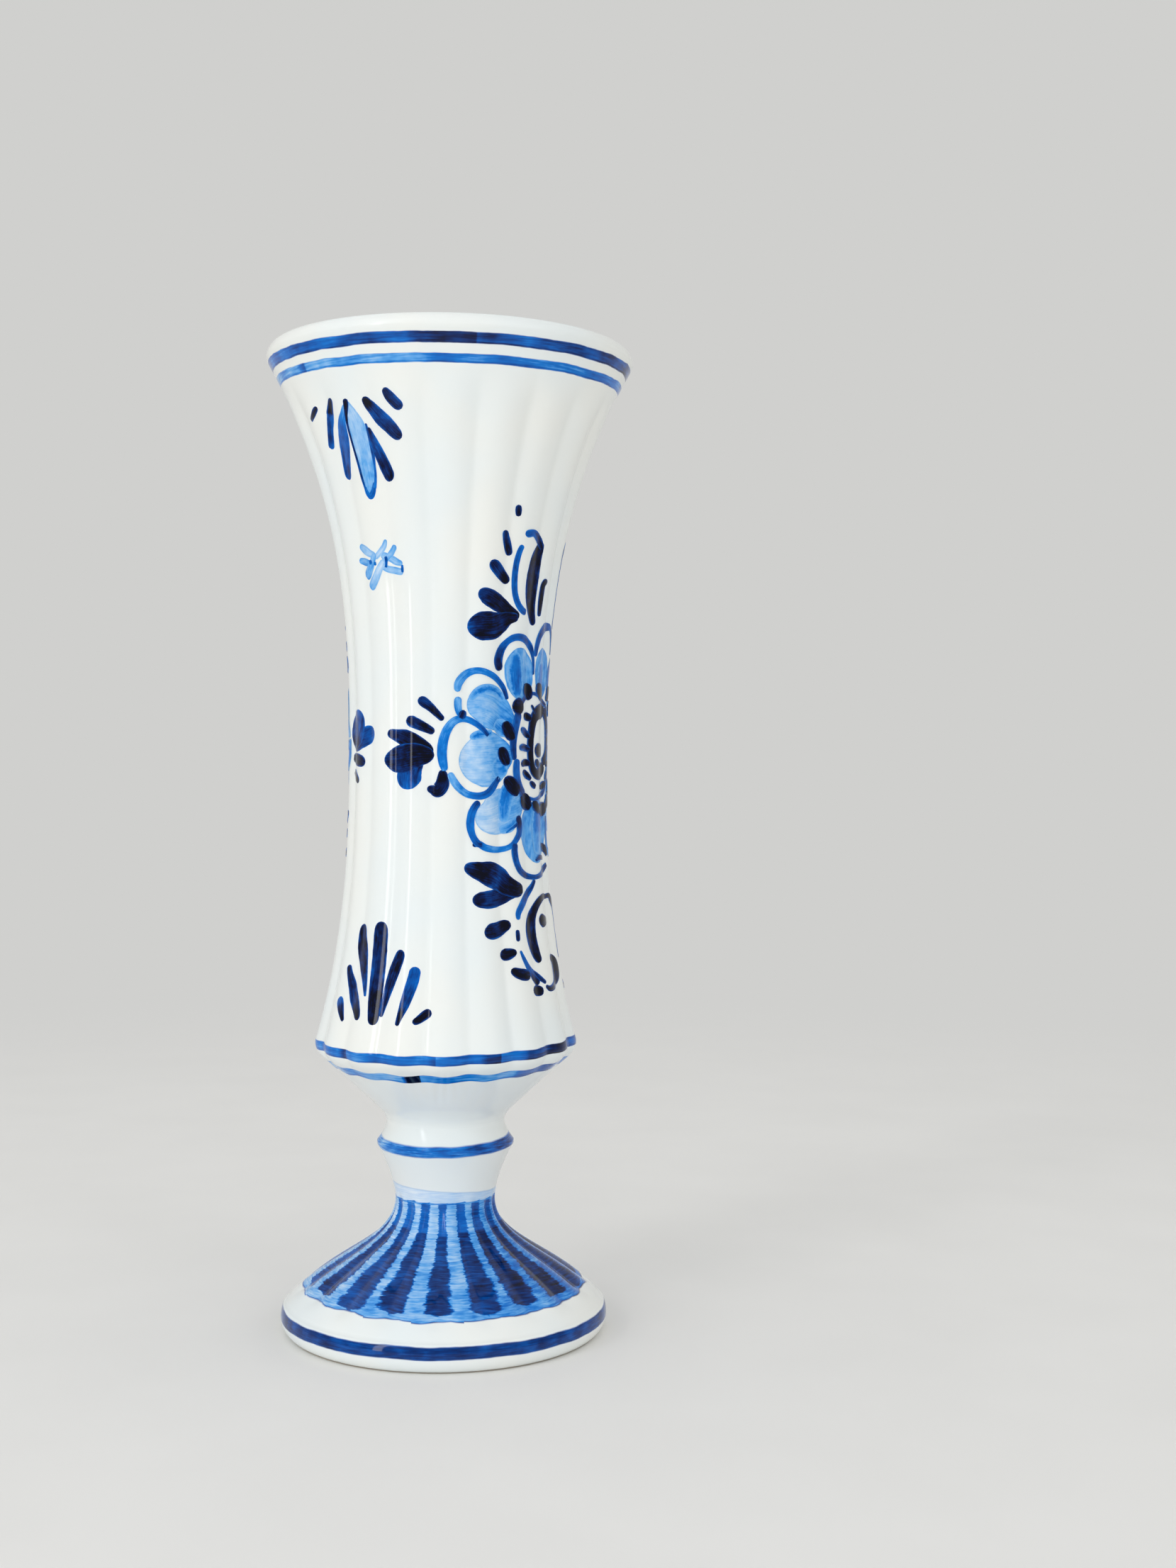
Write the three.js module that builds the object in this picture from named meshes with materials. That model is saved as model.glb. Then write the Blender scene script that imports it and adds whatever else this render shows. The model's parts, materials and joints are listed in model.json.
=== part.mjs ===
// Bud vase in glazed earthenware: a fluted trumpet body luted with slip onto a gadrooned pedestal foot.
// Millimetres, +Z up. The origin is the centre of the foot's underside, on the table.

import * as THREE from "three";

// Pedestal foot, from the table up
const FOOT_RADIUS = 30.8; // widest reach of the foot's edge
const FOOT_BASE_INSET = 2.4; // how far the edge rounds in below its widest reach
const FOOT_EDGE_HEIGHT = 3; // table to the widest reach
const FOOT_CREST_INSET = 0.9; // how far in the flare meets the edge
const FOOT_CREST_RISE = 2.4; // widest reach to the start of the flare
const FLARE_HEIGHT = 19.3; // start of the flare to the narrowest point of the stem
const FLARE_SHOULDER_IN = 7.9; // the flare leaves its start inward by this pull
const FLARE_SHOULDER_UP = 8.7; // and upward by this one
const FLARE_DROP = 8.3; // how far the stem runs down before it flares
const STEM_RADIUS = 9.45; // narrowest point of the stem
const STEM_HEIGHT = 10.4; // narrowest point of the stem to the collar's sharp edge
const STEM_BEND = 1.6; // how late the stem turns out to the collar: 1 is a cone
const COLLAR_RADIUS = 12.95; // sharp edge of the collar
const COLLAR_LAND = 0.5; // height of the narrow upright land on that edge
const COLLAR_HEIGHT = 4; // land to the luted joint
const COLLAR_BEND = 1.85; // how late the collar's top turns out to its edge
const NECK_RADIUS = 11.2; // both castings at the luted joint

// Hollow under the foot
const FOOT_WALL = 3.6; // thickness of the flare
const FOOT_RING_WIDTH = 3.4; // width of the flat ring that the vase stands on
const HOLLOW_HEIGHT = 24; // table to the top of the hollow
const HOLLOW_TIP_RADIUS = 4.2; // radius of the dome that closes it inside the stem

// Luted joint
const SLIP_THICKNESS = 0.4; // layer of slip between the two castings
const SLIP_INSET = 0.15; // how far the sponged joint lies inside the neck

// Trumpet body, from the joint up
const CONE_OFFSET = 0.6; // joint to where the cone would start if its corner were sharp
const CONE_HEIGHT = 12.9; // that point to the shoulder's corner
const SHOULDER_RADIUS = 24.95; // the same corner before it is rounded
const LOWER_HEIGHT = 54.7; // shoulder corner to the narrowest point of the body
const LOWER_BEND = 2.5; // power of the lower flare: higher turns out later
const WAIST_RADIUS = 18.55; // narrowest point of the body
const UPPER_HEIGHT = 74.3; // narrowest point to the rim
const UPPER_BEND = 2.65; // power of the upper flare
const RIM_RADIUS = 34.6; // outside of the rim
const LIP_HEIGHT = 2.3; // rim to the crown of the rounded lip
const SHOULDER_ROUND = 2.6; // softness of the shoulder
const NECK_ROUND = 1.45; // softness of the corner between neck and cone
const WALL = 2.8; // wall of the body
const FLOOR = 5.2; // joint to the floor of the bore
const FLOOR_ROUND = 2.4; // rounding between floor and wall

// Lobes: the body's flutes and the foot's gadroons, with depths as shares of the local radius
const FLUTE_COUNT = 18;
const FLUTE_DEPTH = 0.026; // crest to groove
const FLUTE_PROUD = 0.0125; // how far the crests stand out of the smooth outline
const FLUTE_TURN = -10; // degrees from the front to a groove
const FLUTE_RIM_GAP = 5; // smooth stretch under the rim, which carries the painted lines
const FLUTE_RIM_FADE = 8; // length over which the flutes rise below that stretch
const FLUTE_CONE_REACH = 6; // how far below the shoulder corner the flutes run out
const GADROON_COUNT = 18;
const GADROON_DEPTH = 0.045; // crest to groove, all of it cut into the outline
const GADROON_TURN = -4; // degrees from the front to a groove
const GADROON_TOP_REACH = 2.5; // how far above the stem's narrowest point they start
const GADROON_TOP_FADE = 4;
const GADROON_END_GAP = 1.2; // smooth stretch above the foot's crest
const GADROON_END_FADE = 3;
const GROOVE_SOFTNESS = 0.12; // 0 is a knife-sharp groove between two lobes

const STEPS_PER_LOBE = 6; // facets across one lobe
const SLIP_STEPS = 36; // facets round the joint

// Heights that follow from the lengths above
const FLARE_START = FOOT_EDGE_HEIGHT + FOOT_CREST_RISE;
const STEM_Z = FLARE_START + FLARE_HEIGHT;
const COLLAR_Z = STEM_Z + STEM_HEIGHT;
const FOOT_TOP = COLLAR_Z + COLLAR_LAND + COLLAR_HEIGHT;
const BODY_BASE = FOOT_TOP + SLIP_THICKNESS;
const CONE_START = BODY_BASE + CONE_OFFSET;
const SHOULDER_Z = CONE_START + CONE_HEIGHT;
const WAIST_Z = SHOULDER_Z + LOWER_HEIGHT;
const RIM_Z = WAIST_Z + UPPER_HEIGHT;
const FLOOR_Z = BODY_BASE + FLOOR;

const BASE_RADIUS = FOOT_RADIUS - FOOT_BASE_INSET;
const CREST_RADIUS = FOOT_RADIUS - FOOT_CREST_INSET;
const CONE_SLOPE = (SHOULDER_RADIUS - NECK_RADIUS) / CONE_HEIGHT;

const smoothstep = (a, b, x) => THREE.MathUtils.smoothstep(x, a, b);

// The smaller of two radii, with the corner between them rounded over a span of k.
function softMin(a, b, k) {
  const h = Math.max(k - Math.abs(a - b), 0) / k;
  return Math.min(a, b) - (h * h * k) / 4;
}

const softMax = (a, b, k) => -softMin(-a, -b, k);

// Evenly spaced values from a to b, both ends included.
function spread(a, b, steps) {
  return Array.from({ length: steps + 1 }, (_, i) => a + ((b - a) * i) / steps);
}

// Radius of the trumpet at height z: two flares that open from the waist, each by a power law.
function trumpetRadius(z) {
  const [reach, end, bend] =
    z > WAIST_Z ? [UPPER_HEIGHT, RIM_RADIUS, UPPER_BEND] : [LOWER_HEIGHT, SHOULDER_RADIUS, LOWER_BEND];
  return WAIST_RADIUS + (end - WAIST_RADIUS) * (Math.abs(z - WAIST_Z) / reach) ** bend;
}

// How much the trumpet's radius grows with height at z.
function trumpetSlope(z) {
  const step = 0.01;
  return (trumpetRadius(z + step) - trumpetRadius(z - step)) / (2 * step);
}

const coneRadius = (z) => NECK_RADIUS + (z - CONE_START) * CONE_SLOPE;

// Smooth outside of the body: neck, cone, shoulder and trumpet in one outline.
function bodyRadius(z) {
  const belly = softMin(trumpetRadius(z), coneRadius(z), SHOULDER_ROUND);
  return softMax(belly, NECK_RADIUS, NECK_ROUND);
}

// Inside of the body: the same outline, moved in by the wall measured square to the surface.
function boreRadius(z) {
  const trumpet = trumpetRadius(z) - WALL * Math.hypot(1, trumpetSlope(z));
  const cone = coneRadius(z) - WALL * Math.hypot(1, CONE_SLOPE);
  return softMin(trumpet, cone, SHOULDER_ROUND + WALL);
}

// Strength of the flutes at height z, from 0 to 1.
function fluteStrength(z) {
  const top = RIM_Z - FLUTE_RIM_GAP;
  const end = SHOULDER_Z - FLUTE_CONE_REACH;
  return (1 - smoothstep(top - FLUTE_RIM_FADE, top, z)) * smoothstep(end, SHOULDER_Z, z);
}

// Strength of the gadroons at height z, from 0 to 1.
function gadroonStrength(z) {
  const top = STEM_Z + GADROON_TOP_REACH;
  const end = FLARE_START + GADROON_END_GAP;
  return (1 - smoothstep(top - GADROON_TOP_FADE, top, z)) * smoothstep(end, end + GADROON_END_FADE, z);
}

// Depth of a groove across one lobe, 1 in the groove and 0 on the crest: convex lobes meeting in a soft cusp.
function grooveShape(angle, count) {
  const across = Math.abs(Math.sin((angle * count) / 2));
  const full = Math.hypot(1, GROOVE_SOFTNESS);
  return (full - Math.hypot(across, GROOVE_SOFTNESS)) / (full - GROOVE_SOFTNESS);
}

// Turns an outline round the axis and presses the grooves in.
// Its rows are [crest radius, height, groove depth], and a row without a depth stays round.
function lobedLathe(outline, count, turn) {
  const start = THREE.MathUtils.degToRad(turn);
  const steps = count * STEPS_PER_LOBE;
  const points = outline.map(([radius, z]) => new THREE.Vector2(radius, z));
  const geometry = new THREE.LatheGeometry(points, steps, start);
  const position = geometry.getAttribute("position");
  for (let i = 0; i <= steps; i++) {
    const press = grooveShape((i / steps) * 2 * Math.PI, count);
    outline.forEach(([radius, , depth], j) => {
      if (!depth) return;
      const at = i * outline.length + j;
      const scale = (radius - depth * press) / radius;
      position.setX(at, position.getX(at) * scale);
      position.setZ(at, position.getZ(at) * scale);
    });
  }
  return geometry.rotateX(Math.PI / 2);
}

// Half an ellipse over the wall, from the rim's outside over the crown to its inside, without its two ends.
function lipOutline(steps) {
  const inner = boreRadius(RIM_Z);
  const middle = (RIM_RADIUS + inner) / 2;
  const half = (RIM_RADIUS - inner) / 2;
  return spread(0, Math.PI, steps)
    .slice(1, -1)
    .map((a) => [middle + half * Math.cos(a), RIM_Z + LIP_HEIGHT * Math.sin(a)]);
}

// Quarter ellipse from the bore's wall in to its floor.
function floorOutline(steps) {
  const wall = boreRadius(FLOOR_Z + FLOOR_ROUND);
  return spread(0, Math.PI / 2, steps)
    .slice(1)
    .map((a) => [wall - FLOOR_ROUND * (1 - Math.cos(a)), FLOOR_Z + FLOOR_ROUND * (1 - Math.sin(a))]);
}

function trumpetBody() {
  const outside = [
    ...spread(BODY_BASE, SHOULDER_Z - SHOULDER_ROUND, 5),
    ...spread(SHOULDER_Z - SHOULDER_ROUND / 2, SHOULDER_Z + SHOULDER_ROUND, 3),
    ...spread(SHOULDER_Z + 2 * SHOULDER_ROUND, RIM_Z, 12),
  ].map((z) => {
    const strength = fluteStrength(z);
    const crest = bodyRadius(z) * (1 + FLUTE_PROUD * strength);
    return [crest, z, FLUTE_DEPTH * crest * strength];
  });
  const inside = [
    ...spread(RIM_Z, SHOULDER_Z + 2 * SHOULDER_ROUND, 6),
    ...spread(SHOULDER_Z, FLOOR_Z + FLOOR_ROUND, 1),
  ].map((z) => [boreRadius(z), z]);
  const outline = [[0, BODY_BASE], ...outside, ...lipOutline(6), ...inside, ...floorOutline(2), [0, FLOOR_Z]];
  return lobedLathe(outline, FLUTE_COUNT, FLUTE_TURN);
}

// Rounded foot edge: in to the standing ring below its widest reach, and in to the flare above it.
function edgeOutline() {
  const below = spread(-Math.PI / 2, 0, 3).map((a) => [
    BASE_RADIUS + FOOT_BASE_INSET * Math.cos(a),
    FOOT_EDGE_HEIGHT * (1 + Math.sin(a)),
  ]);
  const above = spread(0, Math.PI / 2, 3).map((a) => [
    CREST_RADIUS + FOOT_CREST_INSET * Math.cos(a),
    FOOT_EDGE_HEIGHT + FOOT_CREST_RISE * Math.sin(a),
  ]);
  return [...below, ...above.slice(1, -1)];
}

// Flare from the foot's edge up to the stem, the stem's concave upper half, and the collar's land and top.
function flankOutline() {
  const flare = new THREE.CubicBezierCurve(
    new THREE.Vector2(CREST_RADIUS, FLARE_START),
    new THREE.Vector2(CREST_RADIUS - FLARE_SHOULDER_IN, FLARE_START + FLARE_SHOULDER_UP),
    new THREE.Vector2(STEM_RADIUS, STEM_Z - FLARE_DROP),
    new THREE.Vector2(STEM_RADIUS, STEM_Z),
  );
  const stem = spread(0, 1, 4)
    .slice(1)
    .map((t) => [STEM_RADIUS + (COLLAR_RADIUS - STEM_RADIUS) * t ** STEM_BEND, STEM_Z + STEM_HEIGHT * t]);
  const top = spread(1, 0, 2).map((t) => [
    NECK_RADIUS + (COLLAR_RADIUS - NECK_RADIUS) * t ** COLLAR_BEND,
    FOOT_TOP - COLLAR_HEIGHT * t,
  ]);
  return [...flare.getPoints(8).map((p) => [p.x, p.y]), ...stem, ...top];
}

// Inside of the foot: the flare moved in by its wall, closed by a dome inside the stem.
function hollowOutline() {
  const shoulderRadius = CREST_RADIUS - FLARE_SHOULDER_IN;
  const wall = new THREE.CubicBezierCurve(
    new THREE.Vector2(BASE_RADIUS - FOOT_RING_WIDTH, 0),
    new THREE.Vector2(shoulderRadius - FOOT_WALL, FLARE_START + FLARE_SHOULDER_UP - FOOT_WALL),
    new THREE.Vector2(HOLLOW_TIP_RADIUS, STEM_Z - FLARE_DROP - FOOT_WALL),
    new THREE.Vector2(HOLLOW_TIP_RADIUS, HOLLOW_HEIGHT - HOLLOW_TIP_RADIUS),
  );
  const dome = spread(0, Math.PI / 2, 2)
    .slice(1)
    .map((a) => [HOLLOW_TIP_RADIUS * Math.cos(a), HOLLOW_HEIGHT - HOLLOW_TIP_RADIUS * (1 - Math.sin(a))]);
  dome.at(-1)[0] = 0;
  return [...wall.getPoints(5).map((p) => [p.x, p.y]), ...dome].reverse();
}

function pedestalFoot() {
  const flank = flankOutline().map(([radius, z]) => [radius, z, GADROON_DEPTH * radius * gadroonStrength(z)]);
  const outline = [...hollowOutline(), ...edgeOutline(), ...flank, [0, FOOT_TOP]];
  return lobedLathe(outline, GADROON_COUNT, GADROON_TURN);
}

// Thin layer of slip between the two flat faces, sponged smooth round its rim.
function lutingSlip() {
  const radius = NECK_RADIUS - SLIP_INSET;
  const outline = [
    new THREE.Vector2(0, FOOT_TOP),
    new THREE.Vector2(radius, FOOT_TOP),
    new THREE.Vector2(radius, BODY_BASE),
    new THREE.Vector2(0, BODY_BASE),
  ];
  return new THREE.LatheGeometry(outline, SLIP_STEPS).rotateX(Math.PI / 2);
}

function mesh(name, geometry, color, roughness) {
  const made = new THREE.Mesh(geometry, new THREE.MeshStandardMaterial({ color, roughness, metalness: 0 }));
  made.name = name;
  return made;
}

const vase = new THREE.Group();
vase.add(
  mesh("trumpet_body", trumpetBody(), 0xe4e9e8, 0.12),
  mesh("luting_slip", lutingSlip(), 0xdcdcd2, 0.6),
  mesh("pedestal_foot", pedestalFoot(), 0xe4e9e8, 0.12),
);

export default vase;
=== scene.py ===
# %% [markdown]
# # A painted bud vase
# The real vase is cast earthenware: a fluted trumpet body and a gadrooned pedestal foot, bonded with slip,
# dipped in white glaze and painted in cobalt blue. This lesson dresses the construction model of that vase.
# The first cell loads the model, whose parts stay where they are, and every piece made here is fitted to
# them.

# %% Load the construction model
import json
import math

import bpy
import numpy as np
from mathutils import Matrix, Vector

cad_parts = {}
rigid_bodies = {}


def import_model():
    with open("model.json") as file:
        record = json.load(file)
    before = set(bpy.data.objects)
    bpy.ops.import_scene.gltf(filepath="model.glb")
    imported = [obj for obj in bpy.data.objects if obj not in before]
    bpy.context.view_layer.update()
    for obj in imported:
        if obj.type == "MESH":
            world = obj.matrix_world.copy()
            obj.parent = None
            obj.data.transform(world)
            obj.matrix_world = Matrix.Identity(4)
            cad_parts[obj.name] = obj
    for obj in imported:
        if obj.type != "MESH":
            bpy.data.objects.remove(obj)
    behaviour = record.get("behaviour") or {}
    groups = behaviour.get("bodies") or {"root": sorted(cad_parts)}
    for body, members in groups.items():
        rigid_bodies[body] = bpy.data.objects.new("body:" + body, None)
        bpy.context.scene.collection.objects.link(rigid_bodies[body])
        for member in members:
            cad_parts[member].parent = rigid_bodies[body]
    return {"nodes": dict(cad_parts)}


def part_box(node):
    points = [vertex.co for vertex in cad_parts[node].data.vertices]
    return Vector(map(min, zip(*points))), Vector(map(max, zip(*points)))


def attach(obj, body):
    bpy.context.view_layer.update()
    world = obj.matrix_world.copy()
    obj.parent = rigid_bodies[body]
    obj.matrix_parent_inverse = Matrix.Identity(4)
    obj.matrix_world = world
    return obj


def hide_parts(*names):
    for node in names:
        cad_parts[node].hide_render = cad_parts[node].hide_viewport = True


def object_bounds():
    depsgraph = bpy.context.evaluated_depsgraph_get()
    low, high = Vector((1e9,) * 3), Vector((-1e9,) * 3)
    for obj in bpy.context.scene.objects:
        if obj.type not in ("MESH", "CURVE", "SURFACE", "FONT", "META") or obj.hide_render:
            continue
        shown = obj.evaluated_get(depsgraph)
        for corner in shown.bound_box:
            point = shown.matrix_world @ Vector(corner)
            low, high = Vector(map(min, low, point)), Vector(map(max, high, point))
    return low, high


for leftover in list(bpy.data.objects):
    bpy.data.objects.remove(leftover)
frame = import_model()
cad_low, cad_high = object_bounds()
_, foot_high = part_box("pedestal_foot")
body_low, body_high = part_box("trumpet_body")
print("parts:", sorted(frame["nodes"]), "height in mm:", round(1000 * cad_high.z, 1))

# %% [markdown]
# ## Working units
# A potter measures in millimetres, Blender in metres. The outlines below are written in millimetres and
# turned into metres only when a mesh is made. Colours are written as the eye reads them from a screen, 0 to
# 255, and the helper turns them into the linear light that a shader wants.

# %% Units and colours
MM = 0.001


def colour(red, green, blue):
    """A screen colour, 0 to 255 a channel, as linear light with full alpha."""
    def linear(value):
        share = value / 255
        return share / 12.92 if share <= 0.04045 else ((share + 0.055) / 1.055) ** 2.4
    return (linear(red), linear(green), linear(blue), 1.0)


print("half of a screen's white in linear light:", round(colour(128, 128, 128)[0], 3))

# %% [markdown]
# ## A bench for node trees
# Glazes and Geometry Nodes are both built from nodes. Written out in full, each node takes four or five
# lines, so this small bench makes one in a single call: it adds the node, sets its options and feeds its
# inputs with a number or with what another node gives. What a node gives is a Value, and a Value can be
# added and multiplied like a number, so the trees below read like formulas.

# %% The bench
class Value:
    """What comes out of a node. It adds, multiplies and so on like a number, through math nodes."""

    def __init__(self, bench, socket):
        self.bench, self.socket = bench, socket


def operator(kind):
    """A Python operator that makes a math node, and the same for a number on the left."""
    return (lambda self, other: self.bench.math(kind, self, other),
            lambda self, other: self.bench.math(kind, other, self))


for sign, kind in (
    ("add", "ADD"), ("sub", "SUBTRACT"), ("mul", "MULTIPLY"), ("truediv", "DIVIDE"), ("pow", "POWER"),
):
    left, right = operator(kind)
    setattr(Value, f"__{sign}__", left)
    setattr(Value, f"__r{sign}__", right)


class Bench:
    """Adds nodes to one tree."""

    def __init__(self, tree):
        self.tree = tree

    def feed(self, socket, value):
        value = getattr(value, "socket", value)
        if isinstance(value, bpy.types.NodeSocket):
            self.tree.links.new(value, socket)
        else:
            socket.default_value = value

    def feed_all(self, sockets, values):
        for socket, value in zip(sockets, values):
            self.feed(socket, value)

    def node(self, kind, inputs=None, **options):
        made = self.tree.nodes.new(kind)
        for name, value in options.items():
            setattr(made, name, value)
        for name, value in (inputs or {}).items():
            self.feed(made.inputs[name], value)
        return made

    def get(self, kind, inputs=None, output=0, **options):
        """One output of a new node."""
        return Value(self, self.node(kind, inputs, **options).outputs[output])

    def every(self, kind, inputs=None):
        """All outputs of a new node, by name."""
        return {socket.name: Value(self, socket) for socket in self.node(kind, inputs).outputs}

    def math(self, operation, *values, kind="ShaderNodeMath"):
        made = self.node(kind, operation=operation)
        self.feed_all(made.inputs, values)
        return Value(self, made.outputs[0])

    def vector(self, operation, *values):
        return self.math(operation, *values, kind="ShaderNodeVectorMath")

    def scaled(self, vector, factor):
        return self.get("ShaderNodeVectorMath", {"Vector": vector, "Scale": factor}, operation="SCALE")

    def axes(self, vector):
        return self.every("ShaderNodeSeparateXYZ", {"Vector": vector})

    def joined(self, **axes):
        return self.get("ShaderNodeCombineXYZ", axes)

    def wave(self, operation, degrees):
        """The sine or cosine of an angle in degrees."""
        return self.math(operation, self.math("RADIANS", degrees))

    def noise(self, spot, scale=1.0, detail=2.0):
        """Noise between about -0.5 and 0.5."""
        return self.get("ShaderNodeTexNoise", {"Vector": spot, "Scale": scale, "Detail": detail}) - 0.5

    def step(self, value, low, high, start=0.0, end=1.0):
        """A soft step: start below low, end above high, an S-curve between them."""
        inputs = {"Value": value, "From Min": low, "From Max": high, "To Min": start, "To Max": end}
        return self.get("ShaderNodeMapRange", inputs, interpolation_type="SMOOTHSTEP")

    def mix(self, factor, first, second):
        made = self.node("ShaderNodeMix", data_type="RGBA")
        self.feed_all((made.inputs[0], made.inputs[6], made.inputs[7]), (factor, first, second))
        return Value(self, made.outputs[2])


print("the bench can:", [name for name in vars(Bench) if not name.startswith("_")])

# %% [markdown]
# ## Trees that make meshes
# Every Geometry Nodes tree below is built and used in the same way. Its inputs carry the sizes by name. A
# modifier runs it on a mesh of points and edges that carry values, and the result is kept as a plain mesh.

# %% Building a tree and running it
def geometry_tree(name, sizes):
    """A Geometry Nodes tree that takes a mesh and the named sizes: its bench, its inputs and its output."""
    tree = bpy.data.node_groups.new(name, "GeometryNodeTree")
    for label, kind in {"Geometry": "Geometry", **sizes}.items():
        tree.interface.new_socket(label, in_out="INPUT", socket_type="NodeSocket" + kind)
    tree.interface.new_socket("Geometry", in_out="OUTPUT", socket_type="NodeSocketGeometry")
    bench = Bench(tree)
    return bench, bench.every("NodeGroupInput"), bench.node("NodeGroupOutput").inputs[0]


def closed_tree(bench, mesh, material, output):
    """Ends a tree: real geometry with its material."""
    plain = bench.get("GeometryNodeRealizeInstances", {"Geometry": mesh})
    bench.feed(output, bench.get("GeometryNodeSetMaterial", {"Geometry": plain, "Material": material}))
    return bench.tree


def line_mesh(name, points, edges, columns):
    """A mesh of points and edges with float attributes on its points, from columns of values."""
    made = bpy.data.meshes.new(name)
    made.from_pydata(points, edges, [])
    for label, values in columns.items():
        made.attributes.new(label, "FLOAT", "POINT").data.foreach_set("value", np.array(values, np.float32))
    return made


def linked(name, data):
    """A new object in the scene."""
    made = bpy.data.objects.new(name, data)
    bpy.context.scene.collection.objects.link(made)
    return made


def worked(name, start, tree, values):
    """Runs a tree on a mesh, and returns its result as an object with a plain mesh and no modifier."""
    carrier = linked(name + "_start", start)
    modifier = carrier.modifiers.new("shape", "NODES")
    modifier.node_group = tree
    for item in tree.interface.items_tree:
        if item.in_out == "INPUT" and item.name in values:
            modifier[item.identifier] = values[item.name]
    graph = bpy.context.evaluated_depsgraph_get()
    made = bpy.data.meshes.new_from_object(
        carrier.evaluated_get(graph), preserve_all_data_layers=True, depsgraph=graph)
    bpy.data.objects.remove(carrier)
    made.name = name
    return linked(name, made)


print("trees can be built and run")

# %% [markdown]
# ## The outline of the vase
# A turned pot is its outline and nothing else, so the outline is written as a few formulas. These are their
# sizes. The outer ones come from the construction model, and the others hang on them.

# %% Sizes of the outline, in millimetres
FOOT_RADIUS = foot_high.x / MM
FOOT_TOP = foot_high.z / MM
BODY_BASE = body_low.z / MM
BODY_TOP = body_high.z / MM
RIM_RADIUS = body_high.x / MM
LIP_HEIGHT = 2.3
RIM_Z = BODY_TOP - LIP_HEIGHT
WALL = 2.8
FLOOR_Z = BODY_BASE + 5.2
FLOOR_ROUND = 2.4
NECK_RADIUS = 11.2
NECK_ROUND = 1.45
CONE_START = BODY_BASE + 0.6
SHOULDER_Z = CONE_START + 12.9
SHOULDER_RADIUS = 24.95
SHOULDER_ROUND = 2.6
WAIST_Z = SHOULDER_Z + 54.7
WAIST_RADIUS = 18.55
LOWER_BEND = 2.5
UPPER_BEND = 2.65
CONE_SLOPE = (SHOULDER_RADIUS - NECK_RADIUS) / (SHOULDER_Z - CONE_START)

FOOT_BASE_RADIUS = FOOT_RADIUS - 2.4
FOOT_RING_WIDTH = 3.4
FOOT_EDGE_Z = 3.0
CREST_RADIUS = FOOT_RADIUS - 0.9
FLARE_START = FOOT_EDGE_Z + 2.4
STEM_RADIUS = 9.45
STEM_Z = FLARE_START + 19.3
FLARE_SHOULDER = (7.9, 8.7)
FLARE_DROP = 8.3
COLLAR_RADIUS = 12.95
COLLAR_Z = STEM_Z + 10.4
COLLAR_LAND = 0.5
STEM_BEND = 1.6
COLLAR_BEND = 1.85
FOOT_WALL = 3.6
HOLLOW_TOP = 24.0
HOLLOW_TIP_RADIUS = 4.2
print("the body is", round(BODY_TOP - BODY_BASE, 1), "mm tall, the foot", round(FOOT_TOP, 1))

# %% [markdown]
# ## The outline as formulas
# The trumpet opens upwards and downwards from its waist by a power law, which keeps the waist long and calm
# and turns the mouth out late. A cone runs in below the shoulder, and where two stretches meet, soft_min and
# soft_max round the corner as the glaze does.

# %% Radius from height
def soft_min(a, b, span):
    """The smaller of two values, with the corner between them rounded over a span."""
    corner = np.maximum(span - np.abs(a - b), 0) / span
    return np.minimum(a, b) - corner * corner * span / 4


def soft_max(a, b, span):
    return -soft_min(-a, -b, span)


def smooth(low, high, x):
    share = np.clip((x - low) / (high - low), 0, 1)
    return share * share * (3 - 2 * share)


def trumpet(z):
    """Radius of the trumpet at height z."""
    up = WAIST_RADIUS + (RIM_RADIUS - WAIST_RADIUS) * (np.abs(z - WAIST_Z) / (RIM_Z - WAIST_Z)) ** UPPER_BEND
    down = WAIST_RADIUS + (SHOULDER_RADIUS - WAIST_RADIUS) * (
        np.abs(z - WAIST_Z) / (WAIST_Z - SHOULDER_Z)) ** LOWER_BEND
    return np.where(z > WAIST_Z, up, down)


def collar_top(z):
    """Radius of the collar's top, from its edge up to the neck."""
    share = np.clip((FOOT_TOP - z) / (FOOT_TOP - COLLAR_Z - COLLAR_LAND), 0, 1)
    return NECK_RADIUS + (COLLAR_RADIUS - NECK_RADIUS) * share ** COLLAR_BEND


def outside(z):
    """Smooth outside radius of body and neck at height z, before the lobes."""
    cone = NECK_RADIUS + (z - CONE_START) * CONE_SLOPE
    belly = soft_min(trumpet(z), cone, SHOULDER_ROUND)
    return soft_max(belly, collar_top(z), NECK_ROUND)


def inside(z):
    """Radius of the bore at height z: the outside, moved in by the wall square to the surface."""
    slope = (trumpet(z + 0.01) - trumpet(z - 0.01)) / 0.02
    flare = trumpet(z) - WALL * np.hypot(1, slope)
    cone = NECK_RADIUS + (z - CONE_START) * CONE_SLOPE - WALL * math.hypot(1, CONE_SLOPE)
    return soft_min(flare, cone, SHOULDER_ROUND + WALL)


radii = [round(float(outside(z)), 2) for z in (WAIST_Z, SHOULDER_Z, RIM_Z)]
print("radius at waist, shoulder and rim:", radii)

# %% [markdown]
# ## Turning and lobing
# The potter's mould gives body and foot their lobes: convex ribs that meet in soft grooves. They follow a
# rule, so Geometry Nodes makes them. The tree sweeps an outline round a circle, as a wheel would, and then
# presses every point in by a cusp-shaped wave: at a crest the sine is 1 and nothing moves, in a groove it
# is 0 and the wall goes in. How strongly a height is pressed rides along with the outline as an attribute,
# so the flutes can die out under the rim and on the cone. A very slight unevenness keeps the reflections
# from looking ruled.

# %% The tree that turns an outline and presses its lobes
OUTLINE_SIZES = {
    "Lobes": "Int", "Steps": "Int", "Turn": "Float", "Rise": "Float", "Cut": "Float",
    "Softness": "Float", "Unevenness": "Float", "Glaze": "Material",
}
WHEEL_RADIUS = 50 * MM
WELD = 0.5e-6


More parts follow.
